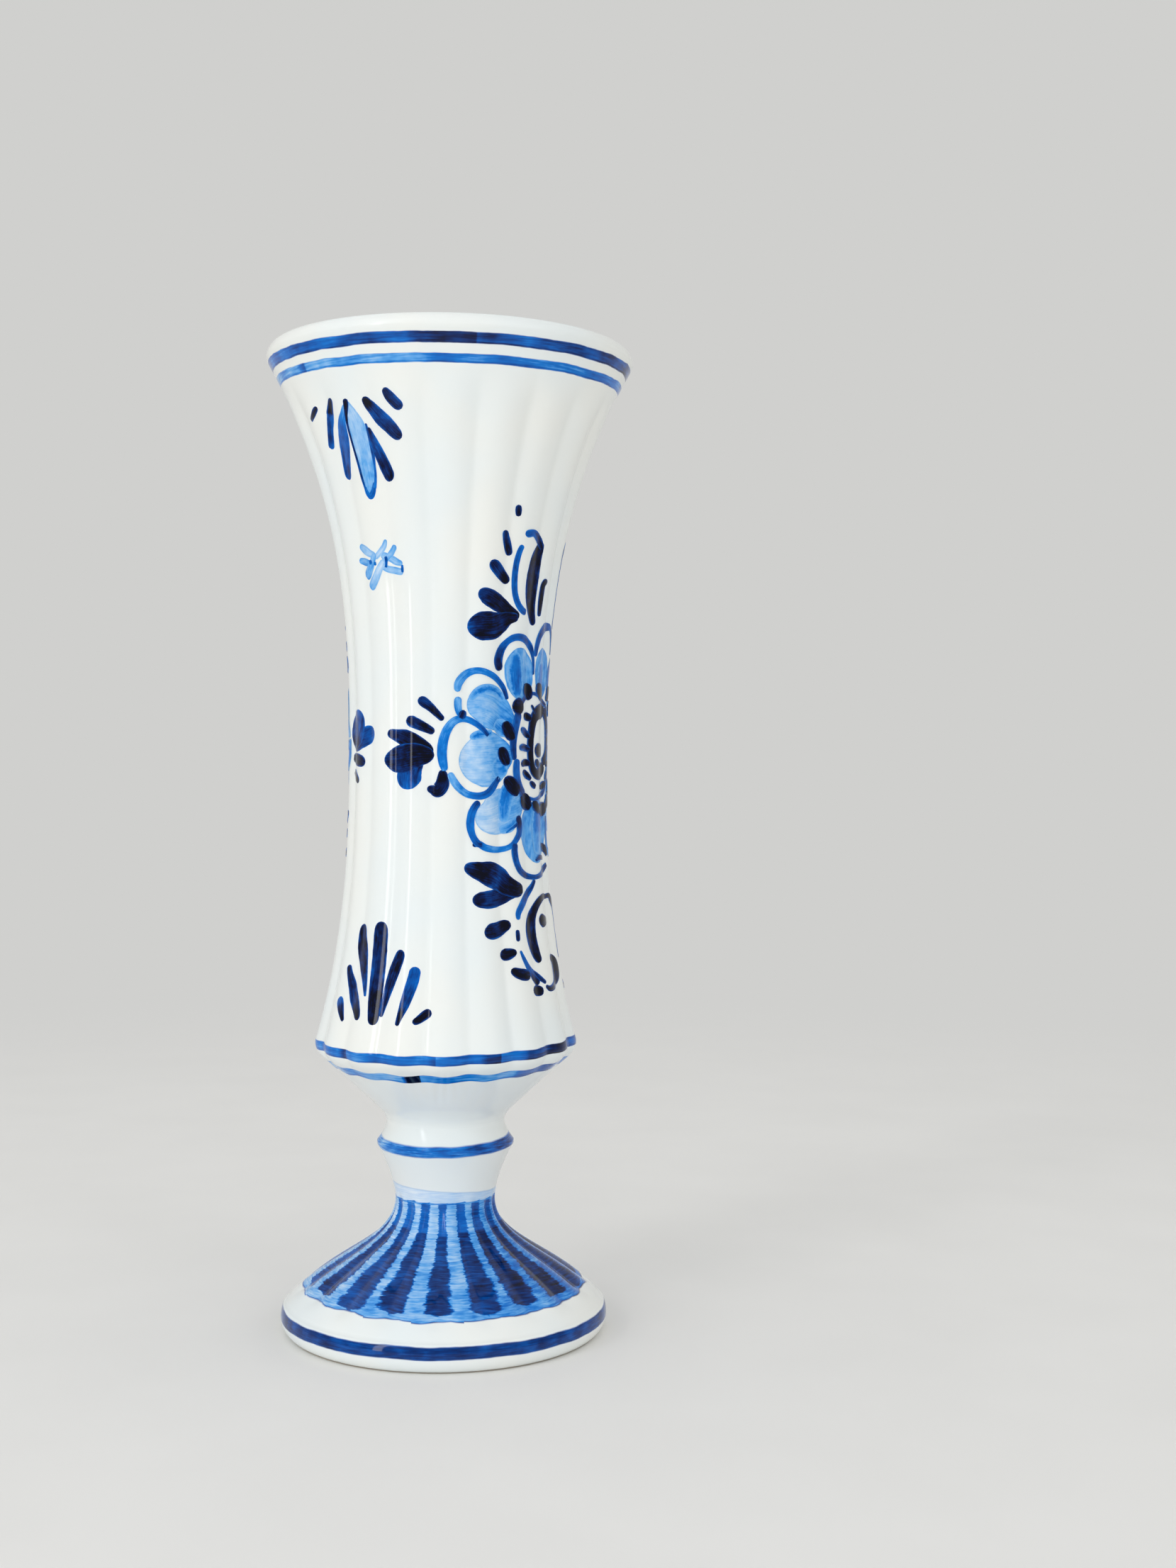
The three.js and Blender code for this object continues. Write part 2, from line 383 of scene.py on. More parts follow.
def attribute(bench, name, kind="FLOAT"):
    return bench.get("GeometryNodeInputNamedAttribute", {"Name": name}, "Attribute", data_type=kind)


def turning_tree():
    bench, size, output = geometry_tree("turned_and_lobed", OUTLINE_SIZES)
    wheel = bench.get("GeometryNodeCurvePrimitiveCircle", {
        "Resolution": size["Lobes"] * size["Steps"], "Radius": WHEEL_RADIUS})
    outline = bench.get("GeometryNodeMeshToCurve", {"Mesh": size["Geometry"]})
    swept = bench.get("GeometryNodeCurveToMesh", {"Curve": wheel, "Profile Curve": outline})

    spot = bench.axes(bench.get("GeometryNodeInputPosition"))
    azimuth = bench.math("ARCTAN2", spot["X"], spot["Y"] * -1.0)
    radius = bench.math("SQRT", spot["X"] ** 2.0 + spot["Y"] ** 2.0)
    wave = bench.math("SINE", (azimuth - size["Turn"]) * (size["Lobes"] / 2.0))
    soft = size["Softness"] * size["Softness"]
    full = bench.math("SQRT", 1.0 + soft)
    reach = bench.math("SQRT", wave * wave + soft)
    groove = (full - reach) / (full - size["Softness"])
    press = size["Rise"] * (1.0 - groove) - size["Cut"] * groove
    drift = bench.get("ShaderNodeTexNoise", {"Scale": 45.0, "Detail": 1.0})
    uneven = (drift - 0.5) * size["Unevenness"]
    slack = uneven * attribute(bench, "free") / bench.math("MAXIMUM", radius, MM)
    scale = 1.0 + press * attribute(bench, "lobe") + slack
    place = bench.joined(X=spot["X"] * scale, Y=spot["Y"] * scale, Z=spot["Z"])

    moved = bench.get("GeometryNodeSetPosition", {"Geometry": swept, "Position": place})
    welded = bench.get("GeometryNodeMergeByDistance", {"Geometry": moved, "Distance": WELD})
    outward = bench.get("GeometryNodeFlipFaces", {"Mesh": welded})
    return closed_tree(bench, outward, size["Glaze"], output)


def outline_mesh(name, rows):
    """A chain of points as the profile of the wheel's sweep. Rows are [radius, height, lobe strength,
    freedom]. The sweep lays a profile's y downwards, so heights go in with a minus sign. An outline climbs
    on its outer side and comes down inside, so its slope tells which points a brush can reach."""
    radius, height, lobe, free = np.array(rows, float).T
    points = [(r * MM - WHEEL_RADIUS, -z * MM, 0.0) for r, z in zip(radius, height)]
    edges = [(i, i + 1) for i in range(len(points) - 1)]
    return line_mesh(name, points, edges, {"lobe": lobe, "free": free, "outer": np.gradient(height) > 0})


TURNING = turning_tree()
print("turning tree has", len(TURNING.nodes), "nodes")

# %% [markdown]
# ## Cobalt under the brush
# The blue is one pigment, cobalt oxide, and only its load changes: a thin wash fires to sky blue, a full
# brush to navy that is nearly black where it pools. So every painted place in this scene says only how much
# pigment lies there, and one ramp turns that load into a colour. That keeps bands, stripes and brushwork in
# one family.

# %% The pigment ramp and the grain of a brush
COBALT = [
    (0.00, colour(222, 233, 243)), (0.22, colour(146, 190, 232)), (0.34, colour(85, 159, 225)),
    (0.46, colour(8, 115, 203)), (0.60, colour(0, 88, 176)), (0.76, colour(0, 50, 118)),
    (0.86, colour(0, 26, 78)), (0.94, colour(0, 9, 46)), (1.00, colour(1, 3, 22)),
]


def cobalt(bench, load):
    """The fired colour of a load of pigment."""
    ramp = bench.node("ShaderNodeValToRGB", {"Fac": load})
    stops = ramp.color_ramp.elements
    between = [stops.new(place) for place, _ in COBALT[1:-1]]
    for stop, (place, shade) in zip([stops[0], *between, stops[-1]], COBALT):
        stop.position, stop.color = place, shade
    return ramp.outputs["Color"]


def spot_of(bench):
    """Where a shaded point lies on the vase: its coordinates, its height in mm and its azimuth in degrees.
    Azimuth 0 faces the camera and grows to the right."""
    place = bench.get("ShaderNodeTexCoord", output="Object")
    axis = bench.axes(place)
    azimuth = bench.math("DEGREES", bench.math("ARCTAN2", axis["X"], axis["Y"] * -1.0))
    return place, axis["Z"] / MM, azimuth


def grain(bench, place, around, up, seed=0.0, detail=2.0):
    """Noise whose patches are so many mm long around the vase and up it."""
    size = (1 / (around * MM), 1 / (around * MM), 1 / (up * MM))
    spot = bench.vector("ADD", bench.vector("MULTIPLY", place, size), (seed, 2 * seed, 3 * seed))
    return bench.noise(spot, detail=detail)


def band(bench, height, low, high, edge):
    """1 between two heights and 0 outside, with edges so soft."""
    return bench.step(height - low, -edge, edge) * bench.step(height - high, -edge, edge, 1.0, 0.0)


def laid(bench, layers):
    """Painted layers, each a (mask, load) over the one before: the coverage and load of them all. A brush
    reaches the outer side, and neither the bore nor the hollow foot."""
    coverage, load = 0.0, 0.5
    for mask, here in layers:
        load = load * (1.0 - mask) + here * mask
        coverage = bench.math("MAXIMUM", coverage, mask)
    return coverage * bench.get("ShaderNodeAttribute", output="Fac", attribute_name="outer"), load


print("pigment stops:", len(COBALT))

# %% [markdown]
# ## The glaze
# A white tin glaze is nearly flat in colour, so what sells it is small: it pools a little cooler in places,
# the kiln leaves a few brown specks, and its surface is wavy enough to bend a reflection. The foot ring is
# wiped clean before firing, so the bare clay shows there. One function makes the glaze and takes the
# painting as a recipe of its own, so body, foot and joint share the same white.

# %% A glaze that takes a painting
COOL_WHITE = colour(226, 233, 234)
WARM_WHITE = colour(234, 235, 230)
CLAY = colour(206, 192, 168)
DARK_CLAY = colour(190, 172, 146)
SPECK = colour(96, 84, 66)
SPECK_SPACING = 17.0
SPECK_SHARE = 0.16 / SPECK_SPACING
SPECK_RARITY = 0.62
FOOT_WIPED = 0.25
ROUGH_GLAZE = 0.07
ROUGH_CLAY = 0.75


def white_glaze(bench, place):
    """The unpainted glaze: slow warm and cool drifts with a few kiln specks."""
    drift = bench.step(grain(bench, place, 22, 30), -0.25, 0.25)
    cells = bench.every("ShaderNodeTexVoronoi", {
        "Vector": place, "Scale": 1 / (SPECK_SPACING * MM), "Randomness": 1.0})
    near = bench.step(cells["Distance"], SPECK_SHARE * 0.5, SPECK_SHARE, 1.0, 0.0)
    luck = bench.get("ShaderNodeSeparateColor", {"Color": cells["Color"]})
    rare = bench.math("GREATER_THAN", luck, SPECK_RARITY)
    return bench.mix(near * rare * 0.8, bench.mix(drift, COOL_WHITE, WARM_WHITE), SPECK)


def glaze(name, painting=None):
    """A glossy white glaze. A painting takes (bench, place, height, azimuth), gives (coverage, load)."""
    made = bpy.data.materials.new(name)
    made.use_nodes = True
    bench = Bench(made.node_tree)
    surface = made.node_tree.nodes["Principled BSDF"].inputs
    place, height, azimuth = spot_of(bench)
    white = white_glaze(bench, place)
    if painting:
        coverage, load = painting(bench, place, height, azimuth)
        white = bench.mix(coverage, white, cobalt(bench, load))
    bare = bench.step(height, FOOT_WIPED * 0.6, FOOT_WIPED, 1.0, 0.0)
    clay = bench.mix(bench.step(grain(bench, place, 0.7, 0.7), -0.3, 0.3), CLAY, DARK_CLAY)
    bench.feed(surface["Base Color"], bench.mix(bare, white, clay))
    sheen = ROUGH_GLAZE + grain(bench, place, 6, 6, 3.0) * 0.05
    bench.feed(surface["Roughness"], bench.math("MAXIMUM", sheen, bare * ROUGH_CLAY))
    surface["IOR"].default_value = 1.45
    surface["Specular IOR Level"].default_value = 0.35
    waves = grain(bench, place, 9, 14, 5.0, 1.0) + grain(bench, place, 1.3, 1.3, 7.0) * 0.06
    bump = bench.get("ShaderNodeBump", {"Height": waves, "Strength": 0.35, "Distance": 0.12 * MM})
    bench.feed(surface["Normal"], bump)
    return made


print("glaze recipe ready")

# %% [markdown]
# ## Painting the body's lines
# Four lines are run round the body while it turns on a banding wheel: two under the rim and two at the
# shoulder. A line that is painted on a wheel keeps its height, but its edges tremble, its load comes and
# goes in patches, and over lobes it rides up and down a little. Towards the right every line gets more load,
# which is painted shade on the side turned from the light. All of that can be read from height and azimuth,
# so the lines live in the glaze and need no mesh of their own.

# %% The body's painting
LOBES = 18
FLUTE_TURN = -10.0
LINES = [
    # low, high, load, how far it rides on the lobes, how far it drifts up, where it runs lowest
    (179.6, 181.4, 0.64, 0.0, 0.4, 10.0),
    (176.5, 178.0, 0.44, 0.0, 0.8, 10.0),
    (53.1, 54.9, 0.52, -0.06, 1.0, -20.0),
    (49.5, 51.0, 0.40, -0.16, 1.1, -20.0),
]
LAPS = [
    # from azimuth, to azimuth, which line, extra load: a second pass of the brush, and on the shoulder
    # lines' right side painted shade
    (-59.0, -54.0, 1, 0.20), (-14.0, 8.0, 0, 0.20), (-22.0, -12.0, 3, 0.75), (-54.0, -48.0, 2, 0.26),
    # The laps from 33 to 60 and from 34 to 66 degrees are painted shade that darkens the shoulder lines'
    # right side.
    (14.0, 24.0, 2, 0.26), (33.0, 60.0, 3, 0.16), (34.0, 66.0, 2, 0.20), (-9.0, -4.0, 2, 0.20),
    (150.0, 168.0, 1, 0.30), (-150.0, -128.0, 3, 0.40),
]
LAP_START, LAP_END = 4.0, 0.8
# Extra load towards the right: painted shade on the side turned from the light.
RIGHT_SIDE_SHADE = 0.08
LINE_EDGE = 0.09


def drifted(bench, azimuth, drift, lowest):
    """How far a line that is run by hand stands above its lowest place, in mm."""
    return (1.0 - bench.wave("COSINE", azimuth - lowest)) * drift


def body_painting(bench, place, height, azimuth):
    ride = bench.wave("COSINE", (azimuth - FLUTE_TURN) * LOBES)
    tremble = grain(bench, place, 7, 60, 1.0, 3.0) * 0.55
    brush = grain(bench, place, 5, 0.3, 2.0, 3.0) * 0.5
    # Painted shade: the lines' load grows towards the right, where the vase is turned from the light.
    rightward_shade = bench.wave("SINE", azimuth) * RIGHT_SIDE_SHADE
    layers = []
    for number, (low, high, full, riding, drift, lowest) in enumerate(LINES):
        level = height + tremble + ride * riding - drifted(bench, azimuth, drift, lowest)
        patches = grain(bench, place, 6, 9, 11.0 + number, 3.0) * 0.6 + rightward_shade
        load = full + brush + patches + band(bench, level, low, low + 0.3, LINE_EDGE) * 0.1
        for start, end, lapped, extra in LAPS:
            if lapped == number:
                begun = bench.step(azimuth, start, start + LAP_START)
                load = load + begun * bench.step(azimuth, end - LAP_END, end, 1.0, 0.0) * extra
        layers.append((band(bench, level, low, high, LINE_EDGE), load))
    return laid(bench, layers)


BODY_GLAZE = glaze("glazed_body", body_painting)
print("body glaze has", len(BODY_GLAZE.node_tree.nodes), "nodes")

# %% [markdown]
# ## Painting the foot
# The foot is the darkest place on the vase. A pale wash rings the stem, and below it the whole flare is
# blue: mid-blue ribs brushed sideways, with a dark stripe laid into every groove. The blue ends in a
# scalloped edge where the pigment pools to a thin dark line, then comes a white band, and a dark ring on
# the foot's edge. The stripes repeat with the gadroons, so one triangle wave of the azimuth draws them all,
# and a random number for each stripe makes it a little wider, paler or further over than its neighbour.

# %% The foot's painting
GADROON_TURN = -4.0
COLLAR_LINE = (34.35, 36.35)
WASH_TOP = 27.5
STRIPE_TOP = 25.2
SECOND_PASS = 20.0
BLUE_END = 8.1
EDGE_RING = (2.75, 5.0)
STRIPE_HALF = 6.1
STRIPE_FOOT = 8.2
STRIPE_SHIFT = 1.4
LOBE_WIDTH = 360 / LOBES
LOADS = {
    # load, extra load towards the right as painted shade, how streaky, how patchy
    "wash": (0.10, 0.05, 0.25, 0.20),
    "ribs": (0.00, 0.00, 0.55, 0.40),
    "stripe": (0.58, 0.00, 0.45, 0.36),
    "seam": (0.42, 0.00, 0.00, 0.60),
    "collar": (0.52, 0.16, 0.80, 0.50),
    "ring": (0.74, 0.00, 0.35, 0.38),
}


def foot_painting(bench, place, height, azimuth):
    level = height + grain(bench, place, 6, 60, 1.0) * 0.5
    lobe = (azimuth - (GADROON_TURN + STRIPE_SHIFT)) / LOBE_WIDTH
    number = bench.math("WRAP", bench.math("ROUND", lobe), float(LOBES), 0.0)
    chance = bench.get("ShaderNodeTexWhiteNoise", {"W": number}, "Color", noise_dimensions="1D")
    luck = bench.every("ShaderNodeSeparateColor", {"Color": chance})

    streaks = grain(bench, place, 3.0, 0.24, 2.0, 4.0)
    patches = grain(bench, place, 4, 4, 3.0, 3.0)
    # Painted shade: more load towards the right, where the foot is turned from the light. The same sine also
    # lowers the wash's top to the right.
    rightward_shade = bench.wave("SINE", azimuth)

    def load(name):
        full, right, streaky, patchy = LOADS[name]
        return full + rightward_shade * right + streaks * streaky + patches * patchy

    # The ribs get paler upwards, and darker on the right as painted shade.
    ribs = bench.step(level, 13.0, 23.0, 0.31, 0.25) + bench.math("MAXIMUM", rightward_shade, 0.0) * 0.14
    ragged = grain(bench, place, 1.7, 0.26, 4.0, 4.0) * 6.2
    sway = grain(bench, place, 5, 5, 6.0, 1.0) * 4.0
    off = bench.math("PINGPONG", lobe + (luck["Red"] - 0.5) * 0.08, 0.5) * LOBE_WIDTH
    width = STRIPE_HALF + ragged + (luck["Green"] - 0.5) * 2.2 + sway
    width = width + bench.step(level, 11.0, 24.0, 0.2, -1.2)
    climb = level - luck["Blue"] * 0.9
    width = width + bench.step(climb, STRIPE_FOOT - 0.3, STRIPE_FOOT + 0.8, -8.5, 0.0)
    stripe = bench.step(off - width, -0.9, 0.9, 1.0, 0.0)
    turn = SECOND_PASS + (luck["Green"] - 0.5) * 1.2
    lower = bench.step(level - turn, -0.3, 0.3, 1.0, 0.0)
    dark = load("stripe") + lower * 0.17 + (luck["Blue"] - 0.5) * 0.12
    blue = (load("ribs") + ribs) * (1.0 - stripe) + dark * stripe

    scallop = (bench.math("PINGPONG", lobe + 0.25, 0.5) * 2.0) ** 2.0 - 0.5
    hem = level - (scallop * 0.22 + luck["Green"] * 0.35)
    pooled = band(bench, hem, BLUE_END - 0.1, BLUE_END + 0.12, 0.08)
    # Pigment pools at the hem, and a little more painted shade goes on the right.
    blue = blue + pooled * 0.42 + rightward_shade * 0.05

    risen = level - drifted(bench, azimuth, 0.6, -20.0)
    return laid(bench, [
        (band(bench, level, STRIPE_TOP - 0.2, WASH_TOP - rightward_shade * 0.7, 0.25), load("wash")),
        (band(bench, hem, BLUE_END, STRIPE_TOP, 0.12), blue),
        (band(bench, level, STRIPE_TOP - 0.12, STRIPE_TOP + 0.12, 0.08), load("seam")),
        (band(bench, risen, *COLLAR_LINE, 0.2), load("collar")),
        (band(bench, level, *EDGE_RING, 0.14), load("ring")),
    ])


FOOT_GLAZE = glaze("glazed_foot", foot_painting)
JOINT_GLAZE = glaze("glazed_joint")
print("foot glaze has", len(FOOT_GLAZE.node_tree.nodes), "nodes")

# %% [markdown]
# ## Throwing the pieces
# Now the outlines go on the wheel. Each is a closed loop from the axis out, up or over, and back to the
# axis, so the swept mesh is a solid clay wall and not a paper surface. Rows lie close together where the
# outline bends and further apart where it runs calm.

# %% Rows of an outline
def rows_of(heights, radius, lobe=np.zeros_like, free=np.zeros_like):
    """Outline rows [radius, height, lobe, freedom] for many heights."""
    heights = np.asarray(heights, float)
    return np.stack([radius(heights), heights, lobe(heights), free(heights)], 1)


def with_lobes(points, lobe=np.zeros_like):
    """Outline rows for points [radius, height]."""
    radius, height = np.array(points, float).T
    return np.stack([radius, height, lobe(height), np.zeros_like(height)], 1)


def arc_rows(centre, half_width, height, start, end, steps):
    """Rows on part of an ellipse, from one angle to another in degrees, with its ends."""
    angles = np.radians(np.linspace(start, end, steps + 1))
    return with_lobes(np.stack([
        centre[0] + half_width * np.cos(angles), centre[1] + height * np.sin(angles)], 1))


print("a quarter-round in 4 steps has", len(arc_rows((0, 0), 1, 1, 0, 90, 4)), "rows")

# %% [markdown]
# ## The body
# The outer wall climbs to the lip, goes over it in a half-round and comes down inside as the bore. Only the
# outer wall is fluted. Its flutes fade in over the cone and out under the rim.

# %% The body
def flute_strength(z):
    top = RIM_Z - 5.0
    return (1 - smooth(top - 8.0, top, z)) * smooth(SHOULDER_Z - 6.0, SHOULDER_Z, z)


def free_above_joint(z):
    return smooth(FOOT_TOP + 1.0, FOOT_TOP + 6.0, z) * (1 - smooth(RIM_Z - 6.0, RIM_Z, z))


def body_rows():
    bend_low, bend_high = SHOULDER_Z - 3.0, SHOULDER_Z + 3.4
    heights = np.concatenate([
        np.arange(BODY_BASE, bend_low, 0.6), np.arange(bend_low, bend_high, 0.32),
        np.arange(bend_high, RIM_Z - 0.5, 1.25), [RIM_Z]])
    wall = rows_of(heights, outside, flute_strength, free_above_joint)
    middle = (RIM_RADIUS + float(inside(RIM_Z))) / 2
    lip = arc_rows((middle, RIM_Z), RIM_RADIUS - middle, LIP_HEIGHT, 0, 180, 22)[1:-1]
    bend = FLOOR_Z + FLOOR_ROUND
    bore = rows_of(np.arange(RIM_Z, bend, -2.4), inside)
    floor = arc_rows((float(inside(bend)) - FLOOR_ROUND, bend), FLOOR_ROUND, -FLOOR_ROUND, 0, 90, 7)
    return np.concatenate([[[0, BODY_BASE, 0, 0]], wall, lip, bore, floor, [[0, FLOOR_Z, 0, 0]]])


FLUTES = {
    "Lobes": LOBES, "Steps": 20, "Turn": math.radians(FLUTE_TURN), "Rise": 0.0125, "Cut": 0.0138,
    "Softness": 0.12, "Unevenness": 0.1 * MM,
}
SHARP_CORNER = math.radians(38)


def thrown(name, rows, sizes, node):
    """Turns an outline into a piece with smooth shading and crisp real corners, which rides on the vase and
    stands for its part."""
    piece = worked(name, outline_mesh(name + "_outline", rows), TURNING, sizes)
    piece.data.shade_smooth()
    piece.data.set_sharp_from_angle(angle=SHARP_CORNER)
    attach(piece, "root")
    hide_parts(node)
    low, high = [[round(1000 * v, 2) for v in corner] for corner in (piece.bound_box[0], piece.bound_box[6])]
    print(piece.name, "faces", len(piece.data.polygons), "from", low, "to", high)
    return piece


body = thrown("fluted_body", body_rows(), {**FLUTES, "Glaze": BODY_GLAZE}, "trumpet_body")

# %% [markdown]
# ## The foot and the joint
# The foot is swept by the same tree. Its gadroons are cut deeper than the body's flutes and none of them
# stands proud, because the flare between them is what the outline shows. Between foot and body lies the
# slip that bonded them. On the real vase it was sponged flush and then glazed over, so it gets the same
# outline as its neighbours and shows only as a calm stretch of the neck.

# %% The foot
def bezier(corners, steps):
    """Points on a cubic curve, with its ends."""
    t = np.linspace(0, 1, steps + 1)[:, None]
    a, b, c, d = np.array(corners, float)
    return a * (1 - t) ** 3 + 3 * b * t * (1 - t) ** 2 + 3 * c * t * t * (1 - t) + d * t ** 3


def gadroon_strength(z):
    return (1 - smooth(STEM_Z - 1.5, STEM_Z + 2.5, z)) * smooth(FLARE_START + 1.2, FLARE_START + 4.2, z)


def foot_rows():
    out, up = FLARE_SHOULDER
    tip, tip_z = HOLLOW_TIP_RADIUS, HOLLOW_TOP - HOLLOW_TIP_RADIUS
    hollow = bezier([
        (FOOT_BASE_RADIUS - FOOT_RING_WIDTH, 0),
        (CREST_RADIUS - out - FOOT_WALL, FLARE_START + up - FOOT_WALL),
        (tip, STEM_Z - FLARE_DROP - FOOT_WALL), (tip, tip_z)], 26)
    dome = arc_rows((0, tip_z), tip, tip, 0, 90, 8)[1:]
    under = with_lobes(np.concatenate([hollow, dome[:, :2]])[::-1])
    lower = arc_rows(
        (FOOT_BASE_RADIUS, FOOT_EDGE_Z), FOOT_RADIUS - FOOT_BASE_RADIUS, FOOT_EDGE_Z, -90, 0, 10)
    upper = arc_rows(
        (CREST_RADIUS, FOOT_EDGE_Z), FOOT_RADIUS - CREST_RADIUS, FLARE_START - FOOT_EDGE_Z, 0, 90, 8)[1:-1]
    flare = with_lobes(bezier([
        (CREST_RADIUS, FLARE_START), (CREST_RADIUS - out, FLARE_START + up),
        (STEM_RADIUS, STEM_Z - FLARE_DROP), (STEM_RADIUS, STEM_Z)], 56), gadroon_strength)
    climb = np.linspace(0, 1, 19)[1:]
    spread = STEM_RADIUS + (COLLAR_RADIUS - STEM_RADIUS) * climb ** STEM_BEND
    stem = with_lobes(np.stack([spread, STEM_Z + (COLLAR_Z - STEM_Z) * climb], 1), gadroon_strength)
    top = rows_of(np.linspace(COLLAR_Z + COLLAR_LAND, FOOT_TOP, 15), outside)
    return np.concatenate([under, lower, upper, flare, stem, top, [[0, FOOT_TOP, 0, 0]]])


GADROONS = {**FLUTES, "Turn": math.radians(GADROON_TURN), "Rise": 0.0, "Cut": 0.045, "Unevenness": 0.0}
thrown("gadrooned_foot", foot_rows(), {**GADROONS, "Glaze": FOOT_GLAZE}, "pedestal_foot")

# %% The glazed joint
slip_rows = rows_of(np.linspace(FOOT_TOP, BODY_BASE, 4), outside)
slip_rows = np.concatenate([[[0, FOOT_TOP, 0, 0]], slip_rows, [[0, BODY_BASE, 0, 0]]])
PLAIN = {**GADROONS, "Steps": 8, "Cut": 0.0, "Glaze": JOINT_GLAZE}
thrown("glazed_joint_ring", slip_rows, PLAIN, "luting_slip")

# %% [markdown]
# ## A brush that follows the clay
# Everything else on the body is brushwork: tapered leaves, dabs, petal outlines and washes. A loaded brush
# is pressed and lifted, so each stroke below is a line of points, and each point says where it is, how wide
# the brush stands there and how much pigment it leaves. The strokes are drawn on a flat strip, as on paper,
# and Geometry Nodes does what the hand does on the vase: it smooths the line, rounds both ends, spreads the
# bristles sideways and lays the strip on the fluted wall by looking inwards at the axis. The result is a
# closed film some hundredths of a millimetre thick, and it borrows the wall's own normals, so the gloss
# runs on undisturbed.

# %% The brush seen end-on
def stored(bench, geometry, name, value, kind="FLOAT"):
    inputs = {"Geometry": geometry, "Name": name, "Value": value}
    return bench.get("GeometryNodeStoreNamedAttribute", inputs, data_type=kind)


def bristle_loop(bench, bristles):
    """The brush seen end-on: out along the top and back along the bottom, with across from 1 to -1 and a
    skin that is 1 on top, -1 below and 0 at both edges."""
    ring = bench.get("GeometryNodeCurvePrimitiveCircle", {"Resolution": bristles * 2.0, "Radius": 1.0})
    index = bench.get("GeometryNodeInputIndex")
    turn = bench.math("PINGPONG", index, bristles) * math.pi / bristles
    across = bench.math("COSINE", turn)
    inner = bench.math("GREATER_THAN", bench.math("SINE", turn), 0.001)
    side = bench.math("LESS_THAN", index, bristles) * 2.0 - 1.0
    ring = stored(bench, ring, "across", across)
    ring = stored(bench, ring, "skin", inner * side)
    return bench.get("GeometryNodeSetPosition", {"Geometry": ring, "Position": bench.joined(X=across)})


print("the brush is a flat loop with twice as many points as bristles")

# %% [markdown]
# ## The tree of the brush
# First the tree works on the line. It smooths it and notes how far the brush has run and how near an end is.
# Then it sweeps the brush along it, and a ray towards the axis finds the place of every point on the wall.

# %% The tree that lays a stroke on the wall
BRUSH_SIZES = {
    "Wall": "Object", "Strip Radius": "Float", "Step": "Float", "Bristles": "Int", "Ragged": "Float",
    "Pigment": "Material",
}
FILM_ROOT = 0.03 * MM
FILM_EDGE = 0.01 * MM
LOOK_FROM = 60 * MM


def brush_tree():
    bench, size, output = geometry_tree("brush_on_the_wall", BRUSH_SIZES)
    path = bench.get("GeometryNodeMeshToCurve", {"Mesh": size["Geometry"]})
    path = bench.get("GeometryNodeCurveSplineType", {"Curve": path}, spline_type="CATMULL_ROM")
    path = bench.get("GeometryNodeResampleCurve", {"Curve": path, "Length": size["Step"]}, mode="LENGTH")

    run = bench.get("GeometryNodeSplineParameter", output="Length")
    rest = bench.get("GeometryNodeSplineLength", output="Length") - run
    to_end = bench.math("MINIMUM", run, rest)
    spot = bench.get("GeometryNodeInputPosition")
    shake = bench.noise(spot, 900.0)
    half = attribute(bench, "width") * 0.5 * (1.0 + shake * size["Ragged"])
    left = 1.0 - bench.math("MINIMUM", to_end / half, 1.0)
    reach = half * bench.math("SQRT", 1.0 - left * left)
    for name, value in (("reach", reach), ("run", run), ("to_end", to_end)):
        path = stored(bench, path, name, value)
    sheet = bench.get("GeometryNodeCurveToMesh", {
        "Curve": path, "Profile Curve": bristle_loop(bench, size["Bristles"]),
        "Scale": attribute(bench, "reach")})

    flat = bench.axes(spot)
    azimuth = flat["X"] / size["Strip Radius"]
    outward = bench.joined(X=bench.math("SINE", azimuth), Y=bench.math("COSINE", azimuth) * -1.0)
    start = bench.vector("ADD", bench.scaled(outward, LOOK_FROM), bench.joined(Z=flat["Y"]))
    wall = bench.get("GeometryNodeObjectInfo", {"Object": size["Wall"]}, "Geometry")
    wall = stored(bench, wall, "wall_normal", bench.get("GeometryNodeInputNormal"), "FLOAT_VECTOR")
    look = bench.node("GeometryNodeRaycast", {
        "Target Geometry": wall, "Source Position": start, "Ray Direction": bench.scaled(outward, -1.0),
        "Ray Length": LOOK_FROM}, data_type="FLOAT_VECTOR")
    bench.feed(look.inputs["Attribute"], attribute(bench, "wall_normal", "FLOAT_VECTOR"))
    facing = bench.vector("NORMALIZE", look.outputs["Attribute"])

    skin = attribute(bench, "skin")
    top = bench.math("MAXIMUM", skin, 0.0) * (attribute(bench, "lift") + FILM_EDGE)
    under = bench.math("MINIMUM", skin, 0.0) * (FILM_ROOT - FILM_EDGE)
    full = bench.step(attribute(bench, "to_end"), 0.0, 0.15 * MM)
    film = (top + under) * full - FILM_EDGE
    place = bench.vector("ADD", look.outputs["Hit Position"], bench.scaled(facing, film))
    sheet = stored(bench, sheet, "facing", facing, "FLOAT_VECTOR")
    film = bench.get("GeometryNodeSetPosition", {"Geometry": sheet, "Position": place})
    film = bench.get("GeometryNodeMergeByDistance", {"Geometry": film, "Distance": 1e-7})
    film = bench.get("GeometryNodeFlipFaces", {"Mesh": film})
    glossy = bench.node("GeometryNodeSetMeshNormal", {"Mesh": film}, mode="FREE")
    sign = bench.math("GREATER_THAN", skin, -0.5) * 2.0 - 1.0
    normal = bench.scaled(attribute(bench, "facing", "FLOAT_VECTOR"), sign)
    bench.feed(glossy.inputs["Custom Normal"], normal)
    return closed_tree(bench, glossy.outputs[0], size["Pigment"], output)


BRUSH = brush_tree()
print("brush tree has", len(BRUSH.nodes), "nodes")

